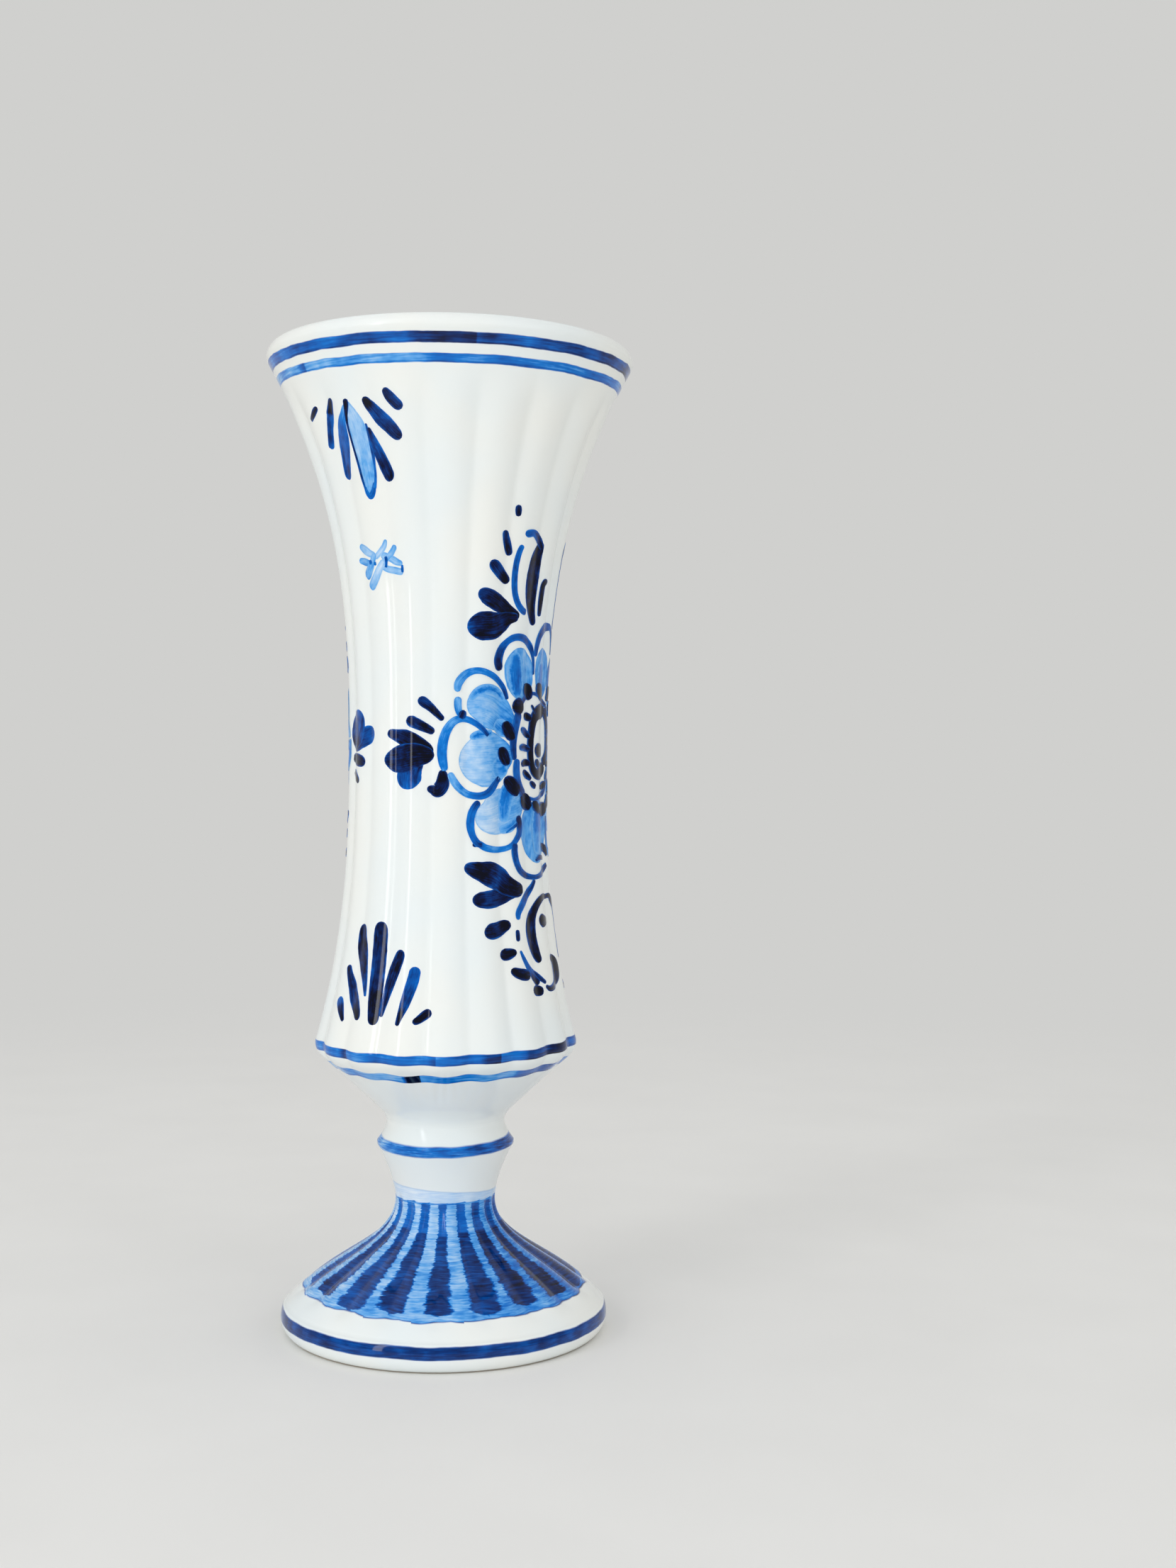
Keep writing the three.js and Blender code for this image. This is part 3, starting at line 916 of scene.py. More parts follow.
# %% [markdown]
# ## Pigment in a stroke
# A stroke carries its own coordinates: how far the brush has run, how far a point lies across, and the load
# at each place. Bristles leave streaks along the run. A thin wash gathers at its border and dries darker
# there, while a full stroke is thinner and bluer at the border than in its middle. The border itself is
# soft by a tenth of a millimetre. There the load falls off to the stroke's ground, which is what lies under
# it: half its own load as a rule, so that strokes that cross don't get a white outline, and the wash's load
# for a streak that melts into a wash.

# %% The pigment of the strokes
# Bristle marks: length and breadth in mm, strength in a wash, and how much more in a full stroke.
STREAKS = (4.0, 0.2, 0.12, 0.3)
POOLS = (1.6, 1.1, 0.24, 0.26)
BORDER_WIDTH, BORDER_GAIN, BORDER_LOSS = 0.45, 0.14, 0.32
COVERING = (-0.04, 0.10)


def stroke_painting(bench, place, height, azimuth):
    def read(name):
        return bench.get("ShaderNodeAttribute", output="Fac", attribute_type="GEOMETRY", attribute_name=name)

    across, reach, run = read("across"), read("reach") / MM, read("run") / MM
    full, ground, soft = read("load"), read("ground"), read("soft") / MM
    inset = bench.math("MINIMUM", (1.0 - bench.math("ABSOLUTE", across)) * reach, read("to_end") / MM)

    def bristled(along, over, least, more):
        marks = bench.joined(X=run / along, Y=across * reach / over, Z=read("seed"))
        return bench.noise(marks, detail=3.0) * (least + full * more)

    border = bench.step(inset, soft, soft + BORDER_WIDTH, 1.0, 0.0) * (BORDER_GAIN - full * BORDER_LOSS)
    wobble = grain(bench, place, 0.5, 0.5, 9.0) * soft
    inked = bench.step(inset + wobble, 0.0, soft)
    load = ground + (full + border + bristled(*STREAKS) + bristled(*POOLS) - ground) * inked
    return bench.step(load, *COVERING), load


STROKE_GLAZE = glaze("brushed_cobalt", stroke_painting)
print("pigment has", len(STROKE_GLAZE.node_tree.nodes), "nodes")

# %% [markdown]
# ## From the paper strip to the wall
# The strokes were read as the camera sees them, and a groove hides part of what lies in it. So every point
# is first moved to where the wall really carries it, and a stroke that climbs is spread with its groove.

# %% From the paper strip to the wall
RULER_DROP = 1.32
RULER_TURN = 0.4
SIGHT_LEAN = 1.04
SEEN_TO = 76.0
SPREAD = (0.6, 1.6)


def into_grooves(azimuth):
    """Where the wall really carries a mark that the camera sees at this azimuth of the crests' outline. A
    groove lies deeper, so the line of sight meets it further out. The side turned away stays as it is."""
    if abs(azimuth) > SEEN_TO:
        return azimuth
    soft, relief = FLUTES["Softness"], FLUTES["Rise"] + FLUTES["Cut"]
    wave = math.sin(math.radians(LOBES / 2 * (azimuth - FLUTE_TURN)))
    full = math.sqrt(1 + soft * soft)
    depth = relief * (full - math.hypot(wave, soft)) / (full - soft)
    fade = min(1.0, (SEEN_TO - abs(azimuth)) / 4)
    return azimuth + fade * (math.degrees(depth * math.tan(math.radians(SIGHT_LEAN * azimuth))) + RULER_TURN)


def placed(stroke, radius):
    """A stroke's points moved into the grooves, and its widths spread with them where they lie across."""
    made = []
    for number, (azimuth, height, width, load) in enumerate(stroke):
        before, after = stroke[max(number - 1, 0)], stroke[min(number + 1, len(stroke) - 1)]
        along = math.radians(after[0] - before[0]) * radius
        upright = abs(after[1] - before[1]) / math.hypot(along, after[1] - before[1])
        edge = math.degrees(width / 2 / radius)
        left, right = into_grooves(azimuth - edge), into_grooves(azimuth + edge)
        spread = 1 + upright * ((right - left) / (2 * edge) - 1)
        width *= max(SPREAD[0], min(spread, SPREAD[1]))
        made.append((0.5 * (left + right), height - RULER_DROP, width, load))
    return made


print("a mark seen at 48 degrees lies at", round(into_grooves(48.0), 2))

# %% [markdown]
# ## A motif from its strokes
# All strokes of a motif become one mesh of points and edges, with width, load and the rest as values on the
# points, and the brush tree turns it into films. Each group of strokes lies a little higher than the last.

# %% A motif from its strokes
EDGE_SOFT = 0.07
FIRST_LIFT, LAYER_LIFT, STROKE_LIFT = 0.03, 0.02, 0.004
SEED_STEP = 3.7


def brushwork(name, strokes, radius, bristles, step=0.16, soft=None, ground=None, start=0):
    """A painted motif from groups of strokes, on a strip that is rolled round a cylinder of this radius. A
    stroke is a list of (azimuth, height, width, load) with its tips as first and last point, and each group
    lies over the one before. soft and ground give a group, by its number, a softer edge in mm and the load
    that the edge falls off to."""
    points, edges, rows, count = [], [], [], 0
    for layer, group in enumerate(strokes):
        edge = (soft or {}).get(layer, EDGE_SOFT) * MM
        for order, stroke in enumerate(group):
            count += 1
            lift = (FIRST_LIFT + LAYER_LIFT * (start + layer) + STROKE_LIFT * (order % 4)) * MM
            edges += [(len(points) + i, len(points) + i + 1) for i in range(len(stroke) - 1)]
            for azimuth, height, width, load in placed(stroke, radius):
                points.append((math.radians(azimuth) * radius * MM, height * MM, 0.0))
                under = (ground or {}).get(layer, 0.5 * load)
                rows.append((width * MM, load, lift, SEED_STEP * count, edge, under))
    columns = dict(zip(("width", "load", "lift", "seed", "soft", "ground"), zip(*rows)))
    piece = worked(name, line_mesh(name + "_strip", points, edges, columns), BRUSH, {
        "Wall": body, "Strip Radius": radius * MM, "Step": step * MM, "Bristles": bristles, "Ragged": 0.10,
        "Pigment": STROKE_GLAZE})
    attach(piece, "root")
    print(name + ":", count, "strokes,", len(piece.data.polygons), "faces")


print("the edge of a stroke is soft over", EDGE_SOFT, "mm")

# %% [markdown]
# ## The hanging sprig
# Under the rim at the left hangs a sprig of seven strokes. The brush was set down at the top, which is why
# their upper ends are nearly black, and a pale leaf in the middle was filled with wash after its sides were
# drawn.

# %% The hanging sprig
SPRIG = [[
    [(-40.3, 172.7, 0.8, 0.3), (-39, 170.6, 2.4, 0.2), (-37.7, 168, 3.8, 0.22), (-37.2, 164.5, 4, 0.24),
     (-36.9, 161, 3.8, 0.3), (-37.1, 158.5, 3.2, 0.3), (-37.6, 155.8, 2.4, 0.4)],
    [(-41, 171.9, 0.6, 0.32), (-42.8, 170.4, 1.2, 0.45), (-44.6, 168.8, 2, 0.6), (-45.9, 166.3, 2.7, 0.64),
     (-47.2, 163.3, 2.3, 0.68), (-48.2, 161, 1.8, 0.74), (-48.5, 159.5, 1.5, 0.74)],
], [
    [(-39.4, 158, 0.5, 0.55), (-39, 156.9, 0.9, 0.56), (-37.5, 156.2, 1.2, 0.6), (-35.6, 157, 1.2, 0.62),
     (-34.2, 158.6, 0.6, 0.68)],
    [(-33.3, 168.6, 0.4, 0.8), (-32.8, 166.5, 0.7, 0.92), (-32.6, 164, 0.8, 0.84),
     (-32.8, 161.5, 0.6, 0.62), (-33.2, 159.5, 0.6, 0.6), (-34.6, 157.4, 0.8, 0.6)],
    [(-39.9, 172.9, 1, 1), (-40.2, 171.8, 1.1, 1), (-41.4, 170, 0.7, 0.98), (-41.9, 168, 0.5, 0.95),
     (-41.6, 164.8, 0.5, 0.88), (-40.9, 161.5, 0.6, 0.8), (-40.4, 159.2, 0.6, 0.78),
     (-39.4, 157, 0.5, 0.6)],
], [
    [(-63, 170.5, 0.6, 1), (-60.5, 171.2, 1, 1), (-58, 171.9, 1.2, 1), (-55.6, 172.4, 0.8, 1)],
    [(-46.5, 173.4, 0.7, 1), (-47.6, 172.5, 1.1, 1), (-49, 171.2, 1.4, 0.92), (-49.5, 170.6, 1.45, 0.68),
     (-51.5, 168.6, 1.6, 0.76), (-53.5, 166.4, 1.9, 0.74), (-54.8, 165.1, 1.9, 0.62)],
    [(-32.5, 167.9, 0.6, 0.95), (-31.3, 165.3, 1.9, 0.74), (-29.4, 163, 2.2, 0.8),
     (-27.6, 160.8, 2.4, 0.88), (-25.6, 158.6, 2.1, 0.92)],
    [(-31.8, 172.9, 1.2, 1), (-30.6, 171.8, 1.8, 1), (-29.2, 170.9, 2.1, 0.8), (-26.8, 169.4, 2.5, 0.72),
     (-24, 168, 2.5, 0.8), (-21.3, 166.5, 2.2, 0.86), (-19.2, 165.7, 1.6, 0.92)],
    [(-23.6, 174, 1, 1), (-22, 172.7, 1.7, 0.86), (-20, 171.5, 1.9, 0.8), (-17.8, 170.5, 1.6, 1)],
]]
SPRIG_BRUSH = {"radius": 26.5, "bristles": 16}
brushwork("hanging_sprig", SPRIG, **SPRIG_BRUSH)

# %% [markdown]
# ## The little star
# Halfway down hangs a star of pale strokes that cross near its middle. Where two of them cross, the pigment
# lies double and fires darker, so small dark dabs are set on the crossings.

# %% The star
STAR = [[
    [(-49.6, 147.9, 1, 0.27), (-46, 147, 1.5, 0.23), (-42.5, 146.2, 1.3, 0.19), (-39.3, 145.8, 1.1, 0.21)],
    [(-32.3, 148.6, 0.6, 0.37), (-33.6, 147.4, 1.1, 0.23), (-36.5, 146.3, 1.2, 0.19),
     (-40, 145.3, 1, 0.17)],
    [(-24, 144.1, 0.8, 0.31), (-27.5, 144.6, 1.3, 0.25), (-31, 145.3, 1.4, 0.25), (-36, 145.9, 1.5, 0.17)],
], [
    [(-51.2, 145.3, 1.1, 0.33), (-47, 144.9, 1.3, 0.33), (-43.5, 144.5, 1.2, 0.35),
     (-41, 144.4, 1.1, 0.29)],
    [(-27.2, 147.5, 1, 0.33), (-29.5, 146.3, 1.1, 0.27), (-32, 145.4, 1.1, 0.23), (-36, 144.3, 1, 0.15)],
    [(-23.8, 142.6, 1.2, 0.23), (-28, 143, 1.3, 0.23), (-33, 143.4, 1.3, 0.23), (-37, 144.3, 1.1, 0.17)],
], [
    [(-47, 141.9, 1.6, 0.37), (-44.8, 143, 1.7, 0.31), (-42, 144.6, 1.3, 0.29), (-39.6, 146.3, 1, 0.21)],
    [(-44.6, 139.9, 1.7, 0.29), (-41, 141.6, 1.7, 0.23), (-37.5, 143.5, 1.5, 0.15),
     (-34.4, 145, 1.1, 0.15)],
], [
    [(-33.2, 145.7, 0.6, 0.7), (-33, 145.1, 0.7, 0.72), (-33.2, 144.3, 0.6, 0.55),
     (-33.6, 143.5, 0.7, 0.68)],
    [(-24.2, 144, 0.4, 0.6), (-24.3, 143.2, 0.5, 0.78), (-24.3, 142.5, 0.4, 0.6)],
    [(-44.2, 144.7, 0.7, 0.66), (-42.8, 144.7, 0.9, 0.62), (-41.6, 144.8, 0.5, 0.56)],
    [(-40.2, 144.8, 0.5, 0.6), (-40.1, 144, 0.6, 0.6)],
]]
STAR_BRUSH = {"radius": 20.6, "bristles": 12}
brushwork("pale_star", STAR, **STAR_BRUSH)

# %% [markdown]
# ## The standing fan
# Above the shoulder stands a fan of six strokes and a dab. Here the brush ended at the foot of each stroke,
# so the pigment pooled black at the lower tips.

# %% The fan
FAN = [[
    [(-36.3, 79.6, 3.1, 0.9), (-36, 77, 3.5, 0.9), (-35.6, 73, 3.5, 0.82), (-35.5, 69, 3.4, 0.82),
     (-35.3, 66.2, 3.2, 0.96), (-35, 63.5, 2.8, 1), (-34.7, 61.1, 2, 1)],
], [
    [(-60.4, 65.3, 1.9, 0.66), (-58.6, 64.3, 2.2, 0.74), (-57, 63.2, 2, 0.98), (-53.3, 61.1, 0.8, 1)],
    [(-56.6, 71.3, 1.6, 0.92), (-54.5, 69.7, 2, 0.88), (-51, 67.5, 2.2, 0.84), (-47.6, 65, 2.2, 0.82),
     (-45, 63.1, 1.7, 1), (-43.8, 61.7, 1.1, 1)],
    [(-48.4, 78.9, 1.4, 0.92), (-48.3, 76.5, 2.4, 0.9), (-46.8, 74, 2.8, 0.92), (-45, 71.5, 2.2, 0.86),
     (-43.1, 69, 1.4, 0.78), (-41.3, 66, 0.5, 0.72)],
    [(-23, 74.7, 1.6, 0.9), (-24.4, 73, 2.1, 0.9), (-26.5, 70.6, 2.2, 0.88), (-28.3, 68, 1.9, 0.86),
     (-29.6, 65.5, 1.3, 0.8), (-31, 62.6, 0.7, 0.9)],
    [(-15.4, 71.8, 2.2, 0.68), (-16.4, 69.5, 2.4, 0.66), (-18.3, 67, 2.2, 0.72), (-20, 64.8, 1.8, 0.82),
     (-21.7, 62.8, 1.1, 1), (-22.7, 61.3, 0.7, 1)],
    [(-7.2, 64.1, 1.3, 1), (-10, 63.3, 1.7, 1), (-13, 62.4, 1.4, 1), (-15.5, 61.9, 1, 1)],
]]
FAN_BRUSH = {"radius": 22.5, "bristles": 16}
brushwork("standing_fan", FAN, **FAN_BRUSH)

# %% [markdown]
# ## The crest over the flower
# Above the flower climb a two-lobed leaf, two dashes and a dot, and beside them a long dark crescent with a
# hook that curls over its top and a pale line that follows its back.

# %% The crest
CREST = [[
    [(14.3, 138.9, 2.2, 0.76), (17.5, 138.8, 2.8, 0.84), (22, 138.1, 3.2, 0.94), (27, 137.2, 3, 0.92),
     (32, 136.2, 2.4, 0.98), (36.5, 135.5, 1.9, 1), (39.8, 135.1, 1.4, 1)],
], [
    [(9.3, 132.8, 3.2, 0.72), (13, 133, 4.4, 0.84), (18, 133.2, 5.3, 0.98), (23.5, 133.4, 5, 0.92),
     (28.5, 134, 3.8, 0.9), (33, 134.8, 2.4, 1), (39.2, 135.1, 1.4, 1)],
    [(37.6, 148.1, 1, 0.54), (36, 147, 1.2, 0.62), (34.7, 144.8, 1.3, 0.66), (34.5, 142, 1.35, 0.68),
     (35.6, 139.4, 1.35, 0.66), (38.3, 137.5, 1.35, 0.64), (41.8, 136.4, 1.3, 0.64),
     (44.8, 136.1, 1.1, 0.66)],
], [
    [(51, 149, 1, 1), (49.5, 147.9, 1.8, 1), (47.9, 146, 2.5, 0.96), (47.2, 143.5, 2.9, 0.94),
     (46.9, 141, 3, 0.92), (47.2, 138.8, 2.6, 0.96), (48.3, 136.8, 2, 1), (49.8, 135.3, 1.6, 1),
     (51.2, 133.9, 1.3, 1)],
], [
    [(37.9, 150, 1.1, 0.66), (40, 150.2, 1.4, 0.64), (43.8, 150.4, 1.3, 0.66), (47, 149.7, 1.3, 0.78),
     (49.2, 148.8, 1.1, 0.96), (50.8, 147.8, 0.9, 1)],
    [(60.6, 141.7, 1, 1), (58.6, 142, 1.4, 1), (56.7, 141.4, 1.6, 1), (56.1, 139.6, 1.8, 1),
     (55.9, 137.6, 1.6, 1), (55.8, 135.6, 1.2, 1)],
    [(31.6, 155.1, 0.9, 1), (32, 154.1, 1.2, 1), (32.4, 153, 0.9, 1)],
    [(26.5, 150.5, 0.9, 0.84), (27, 149.6, 1.2, 0.82), (28, 148.4, 1.35, 0.92), (28.9, 147.4, 1.4, 1),
     (30.2, 146, 1.1, 1)],
    [(20.6, 145, 1.6, 0.9), (22.6, 144.1, 2.1, 0.82), (25, 143.2, 2.1, 0.8), (27.2, 142.4, 1.9, 0.94),
     (29, 141.8, 1.7, 1), (30.8, 141.1, 1.4, 1)],
]]
CREST_BRUSH = {"radius": 19.5, "bristles": 16}
brushwork("crest_over_flower", CREST, **CREST_BRUSH)

# %% [markdown]
# ## The trail under the flower
# The stem side answers the crest loosely: a two-lobed leaf, shrinking dashes that lead down in a curve, and
# a wide crescent round a single dot.

# %% The trail
TRAIL = [[
    [(12.8, 83.9, 2, 0.84), (16.5, 83.7, 2.8, 0.96), (22, 83.7, 3.3, 0.8), (28, 84.1, 3.2, 0.86),
     (34, 84.8, 2.8, 1), (40, 85.2, 2.2, 1), (43.8, 85.3, 1.5, 1)],
    [(39.2, 74.3, 0.5, 0.74), (41.6, 72.4, 0.9, 0.72), (44.6, 70.6, 1.1, 0.7), (49, 69.4, 1, 0.9),
     (55.6, 67.9, 0.8, 0.96)],
], [
    [(8.6, 89.7, 1.7, 0.82), (11.5, 89.4, 2.4, 0.84), (16.5, 88.9, 3.5, 1), (22.5, 88.3, 4.6, 0.92),
     (28, 87.5, 4.5, 0.78), (33, 86.2, 3.8, 0.96), (39, 85.4, 3.1, 1), (44.4, 85.4, 2.2, 1)],
    [(44, 70.8, 0.7, 0.66), (46.6, 69.3, 1.2, 0.88), (49.8, 67.8, 1.3, 0.96)],
    [(64.2, 72.1, 0.9, 1), (66.6, 72, 1.2, 1), (68.8, 70.9, 1.5, 1), (68.4, 69, 1.5, 0.94),
     (65.6, 67.6, 1.3, 0.86), (61, 66.9, 1.2, 0.84), (57.6, 66.9, 1.1, 0.9), (54.8, 67.5, 0.7, 0.96)],
], [
    [(18.6, 77.9, 2.3, 0.98), (21.5, 77.9, 2.9, 0.92), (26, 78.2, 2.8, 0.88), (30, 78.8, 2.3, 1),
     (34.2, 79.3, 1.6, 1)],
    [(26.9, 74, 1.8, 1), (30, 73.7, 2.3, 1), (33.2, 73.9, 1.9, 1), (36.8, 74.2, 0.9, 1)],
    [(32.3, 71, 1.3, 1), (36, 70.3, 2, 1), (40, 69.9, 2.2, 1), (44.4, 69.7, 1.7, 1)],
    [(45, 66.9, 1.8, 1), (48.6, 66.7, 1.95, 1), (52.3, 66.5, 1.7, 1)],
    [(38.3, 78.1, 0.8, 0.94), (38.4, 77, 0.95, 0.98), (38.3, 75.9, 0.8, 0.98)],
    [(55, 87, 0.9, 0.92), (51.2, 85.6, 1.2, 0.8), (46.4, 83.9, 1.35, 0.7), (42.3, 82.2, 1.4, 0.66),
     (39.8, 81, 1.3, 0.64), (39.6, 79.8, 0.9, 0.62)],
    [(68.4, 83.5, 0.8, 1), (63.5, 83.6, 1.2, 1), (57.5, 82.8, 1.7, 0.96), (51.8, 81.1, 2, 0.94),
     (48.6, 78.9, 2.4, 0.94), (48.2, 76.6, 2.4, 0.94), (49.8, 74.2, 2.2, 0.95), (52.6, 71.7, 1.7, 1)],
    [(56, 79.3, 2.1, 1), (59, 79.3, 2.6, 1), (62, 79.2, 2.2, 1), (66.4, 79.2, 0.9, 1)],
]]
TRAIL_BRUSH = {"radius": 19.2, "bristles": 16}
brushwork("trail_under_flower", TRAIL, **TRAIL_BRUSH)

# %% [markdown]
# ## The side leaves
# At the flower's left lie a three-lobed leaf, two dashes and a drop. Further left, nearly round the corner,
# stands the leaf that belongs to the flower on the vase's back.

# %% The leaves beside the flower
SIDE_LEAVES = [[
    [(-36.3, 113.9, 1.5, 0.88), (-31, 113.4, 2.2, 0.88), (-25, 112.8, 3.2, 0.9), (-19, 111.8, 3.5, 0.96),
     (-13, 110.9, 2.6, 1), (-8.6, 110.3, 1.4, 1)],
], [
    [(-22.6, 103.5, 4.6, 0.64), (-22.6, 105.3, 4.9, 0.7), (-21.8, 107.3, 4.6, 0.82),
     (-19.5, 109.5, 4.2, 0.96), (-17, 111.4, 3.4, 1)],
], [
    [(-38.4, 108.7, 1.4, 0.86), (-35.5, 108.8, 3.2, 0.86), (-31, 108.9, 4.8, 0.86), (-25, 109.2, 5.2, 0.9),
     (-18.5, 109.7, 4.6, 0.97), (-12.5, 109.8, 3.2, 1), (-8, 109.8, 2, 1)],
], [
    [(-16.8, 120.2, 1.5, 0.9), (-14.2, 119.4, 1.9, 0.84), (-10.6, 118.5, 1.6, 0.92), (-7, 117.4, 1.3, 1),
     (-3.1, 116.1, 1, 1)],
    [(-23.8, 116.5, 1.5, 0.92), (-21, 115.9, 2.1, 0.88), (-17, 115.3, 2, 0.85), (-13, 114.7, 1.7, 0.96),
     (-8, 113.9, 1.2, 1)],
    [(-3.6, 107.2, 1.2, 1), (-3.3, 105.8, 2, 1), (-3.7, 104.4, 2.6, 0.92), (-6.2, 103.4, 2.5, 0.92),
     (-9.4, 103.6, 1.6, 0.9), (-12, 103.9, 1.1, 0.92)],
]]
LEAF_BRUSH = {"radius": 18.7, "bristles": 20}
brushwork("leaves_left_of_flower", SIDE_LEAVES, **LEAF_BRUSH)
BACK_LEAVES = [[
    [(-68.5, 111.7, 1.8, 1), (-63.5, 112.1, 3.2, 0.9), (-57.5, 112.8, 3.9, 0.76), (-52, 113.5, 3.6, 0.68),
     (-46.2, 114.2, 2.6, 0.64)],
], [
    [(-66, 110.8, 2.2, 1), (-64.5, 112.4, 3.9, 0.84), (-62.3, 114.6, 4.7, 0.76), (-60.7, 116.6, 4.6, 0.72),
     (-60.3, 118.2, 4, 0.66)],
], [
    [(-69, 109.4, 1.4, 1), (-64, 109, 2.1, 0.98), (-59, 108.7, 2.3, 0.9), (-54, 108.3, 1.6, 0.96)],
    [(-67.6, 106.9, 0.8, 1), (-64.5, 105.8, 1.25, 1), (-61.1, 104.8, 1, 1)],
]]
brushwork("leaves_of_back_flower", BACK_LEAVES, **LEAF_BRUSH)

# %% [markdown]
# ## The flower
# The flower is built as its painter built it. First come the pale washes of the petals, brushed from the
# centre outwards. Then every petal gets a mid-blue line round its tip that stands clear of the wash and
# leaves a white sliver between. The heart comes last: an open ring, a row of beads inside it, a heavy curl,
# and black dots in the gaps between the petals.

# %% The petals' washes
WASHES = [[
    [(46, 119.8, 3.6, 0.34), (44.2, 122.3, 6.2, 0.36), (42.4, 125, 7.2, 0.34), (41.6, 127.4, 6.4, 0.32),
     (41.6, 129.7, 4.6, 0.34)],
    [(67, 120.6, 3.6, 0.4), (66.5, 123, 6, 0.38), (66, 126, 6.6, 0.36), (66.5, 130.1, 5.2, 0.38)],
    [(60, 102, 5, 0.44), (58.5, 99, 7.6, 0.4), (57.2, 96, 8.2, 0.36), (57.2, 93, 7.4, 0.34),
     (57.2, 89.9, 5.4, 0.36)],
], [
    [(38.5, 114.8, 2.6, 0.42), (33, 116.2, 5, 0.4), (27, 117.6, 7, 0.34), (21.5, 118.5, 7.5, 0.28),
     (16, 118.8, 6.4, 0.26), (9.8, 118.6, 5.2, 0.28)],
    [(46.5, 101.6, 3.2, 0.38), (40, 100.9, 5.8, 0.34), (33.5, 100.1, 7.8, 0.28), (26.5, 99.2, 7.8, 0.2),
     (20, 98.8, 6.6, 0.16), (14.6, 99, 4.6, 0.18)],
], [
    [(38, 109.4, 4, 0.42), (33, 109.5, 7.6, 0.38), (26, 109.3, 9.9, 0.32), (18, 109.1, 10.1, 0.24),
     (11.5, 109.1, 9, 0.18), (5.4, 109.3, 6.8, 0.18)],
], [
    [(41.5, 120.4, 2.2, 0.52), (40, 123, 3.4, 0.56), (38.9, 126, 3.4, 0.52), (38.6, 128.8, 2, 0.44)],
    [(40.5, 104.6, 1.6, 0.64), (35.5, 103.6, 3.2, 0.6), (33, 101, 3, 0.5), (32, 97.6, 1.8, 0.34)],
    [(11.4, 112.9, 0.8, 0.4), (15, 113.4, 1.6, 0.5), (19.5, 113.7, 1.6, 0.5), (25, 113.9, 1.2, 0.44)],
    [(11.2, 119.8, 1, 0.4), (15.5, 121.3, 1.6, 0.5), (21, 121.9, 1.8, 0.54), (27, 121.4, 1.6, 0.48),
     (31.6, 119.8, 1, 0.44)],
    [(62, 101, 2.2, 0.54), (60.5, 98, 4, 0.5), (59.5, 95, 3.6, 0.42), (59, 91.5, 2, 0.38)],
    [(64, 121.6, 1.6, 0.52), (63, 124, 2.6, 0.5), (62.6, 127.5, 2.4, 0.44)],
    [(34.5, 108, 3, 0.46), (30, 107.6, 4.4, 0.4), (24, 107.8, 3, 0.32)],
    [(36.5, 113.8, 1.6, 0.52), (32, 114.6, 3, 0.46), (26, 116, 2.4, 0.38)],
    [(42, 98.4, 1.4, 0.46), (36, 96.8, 2, 0.4), (29, 96.2, 1.4, 0.28)],
]]
FLOWER_BRUSH = {"radius": 18.7}
WASH_BRUSH = {**FLOWER_BRUSH, "bristles": 44, "step": 0.2}
brushwork("petal_washes", WASHES, **WASH_BRUSH, soft={3: 0.9}, ground={3: 0.30})

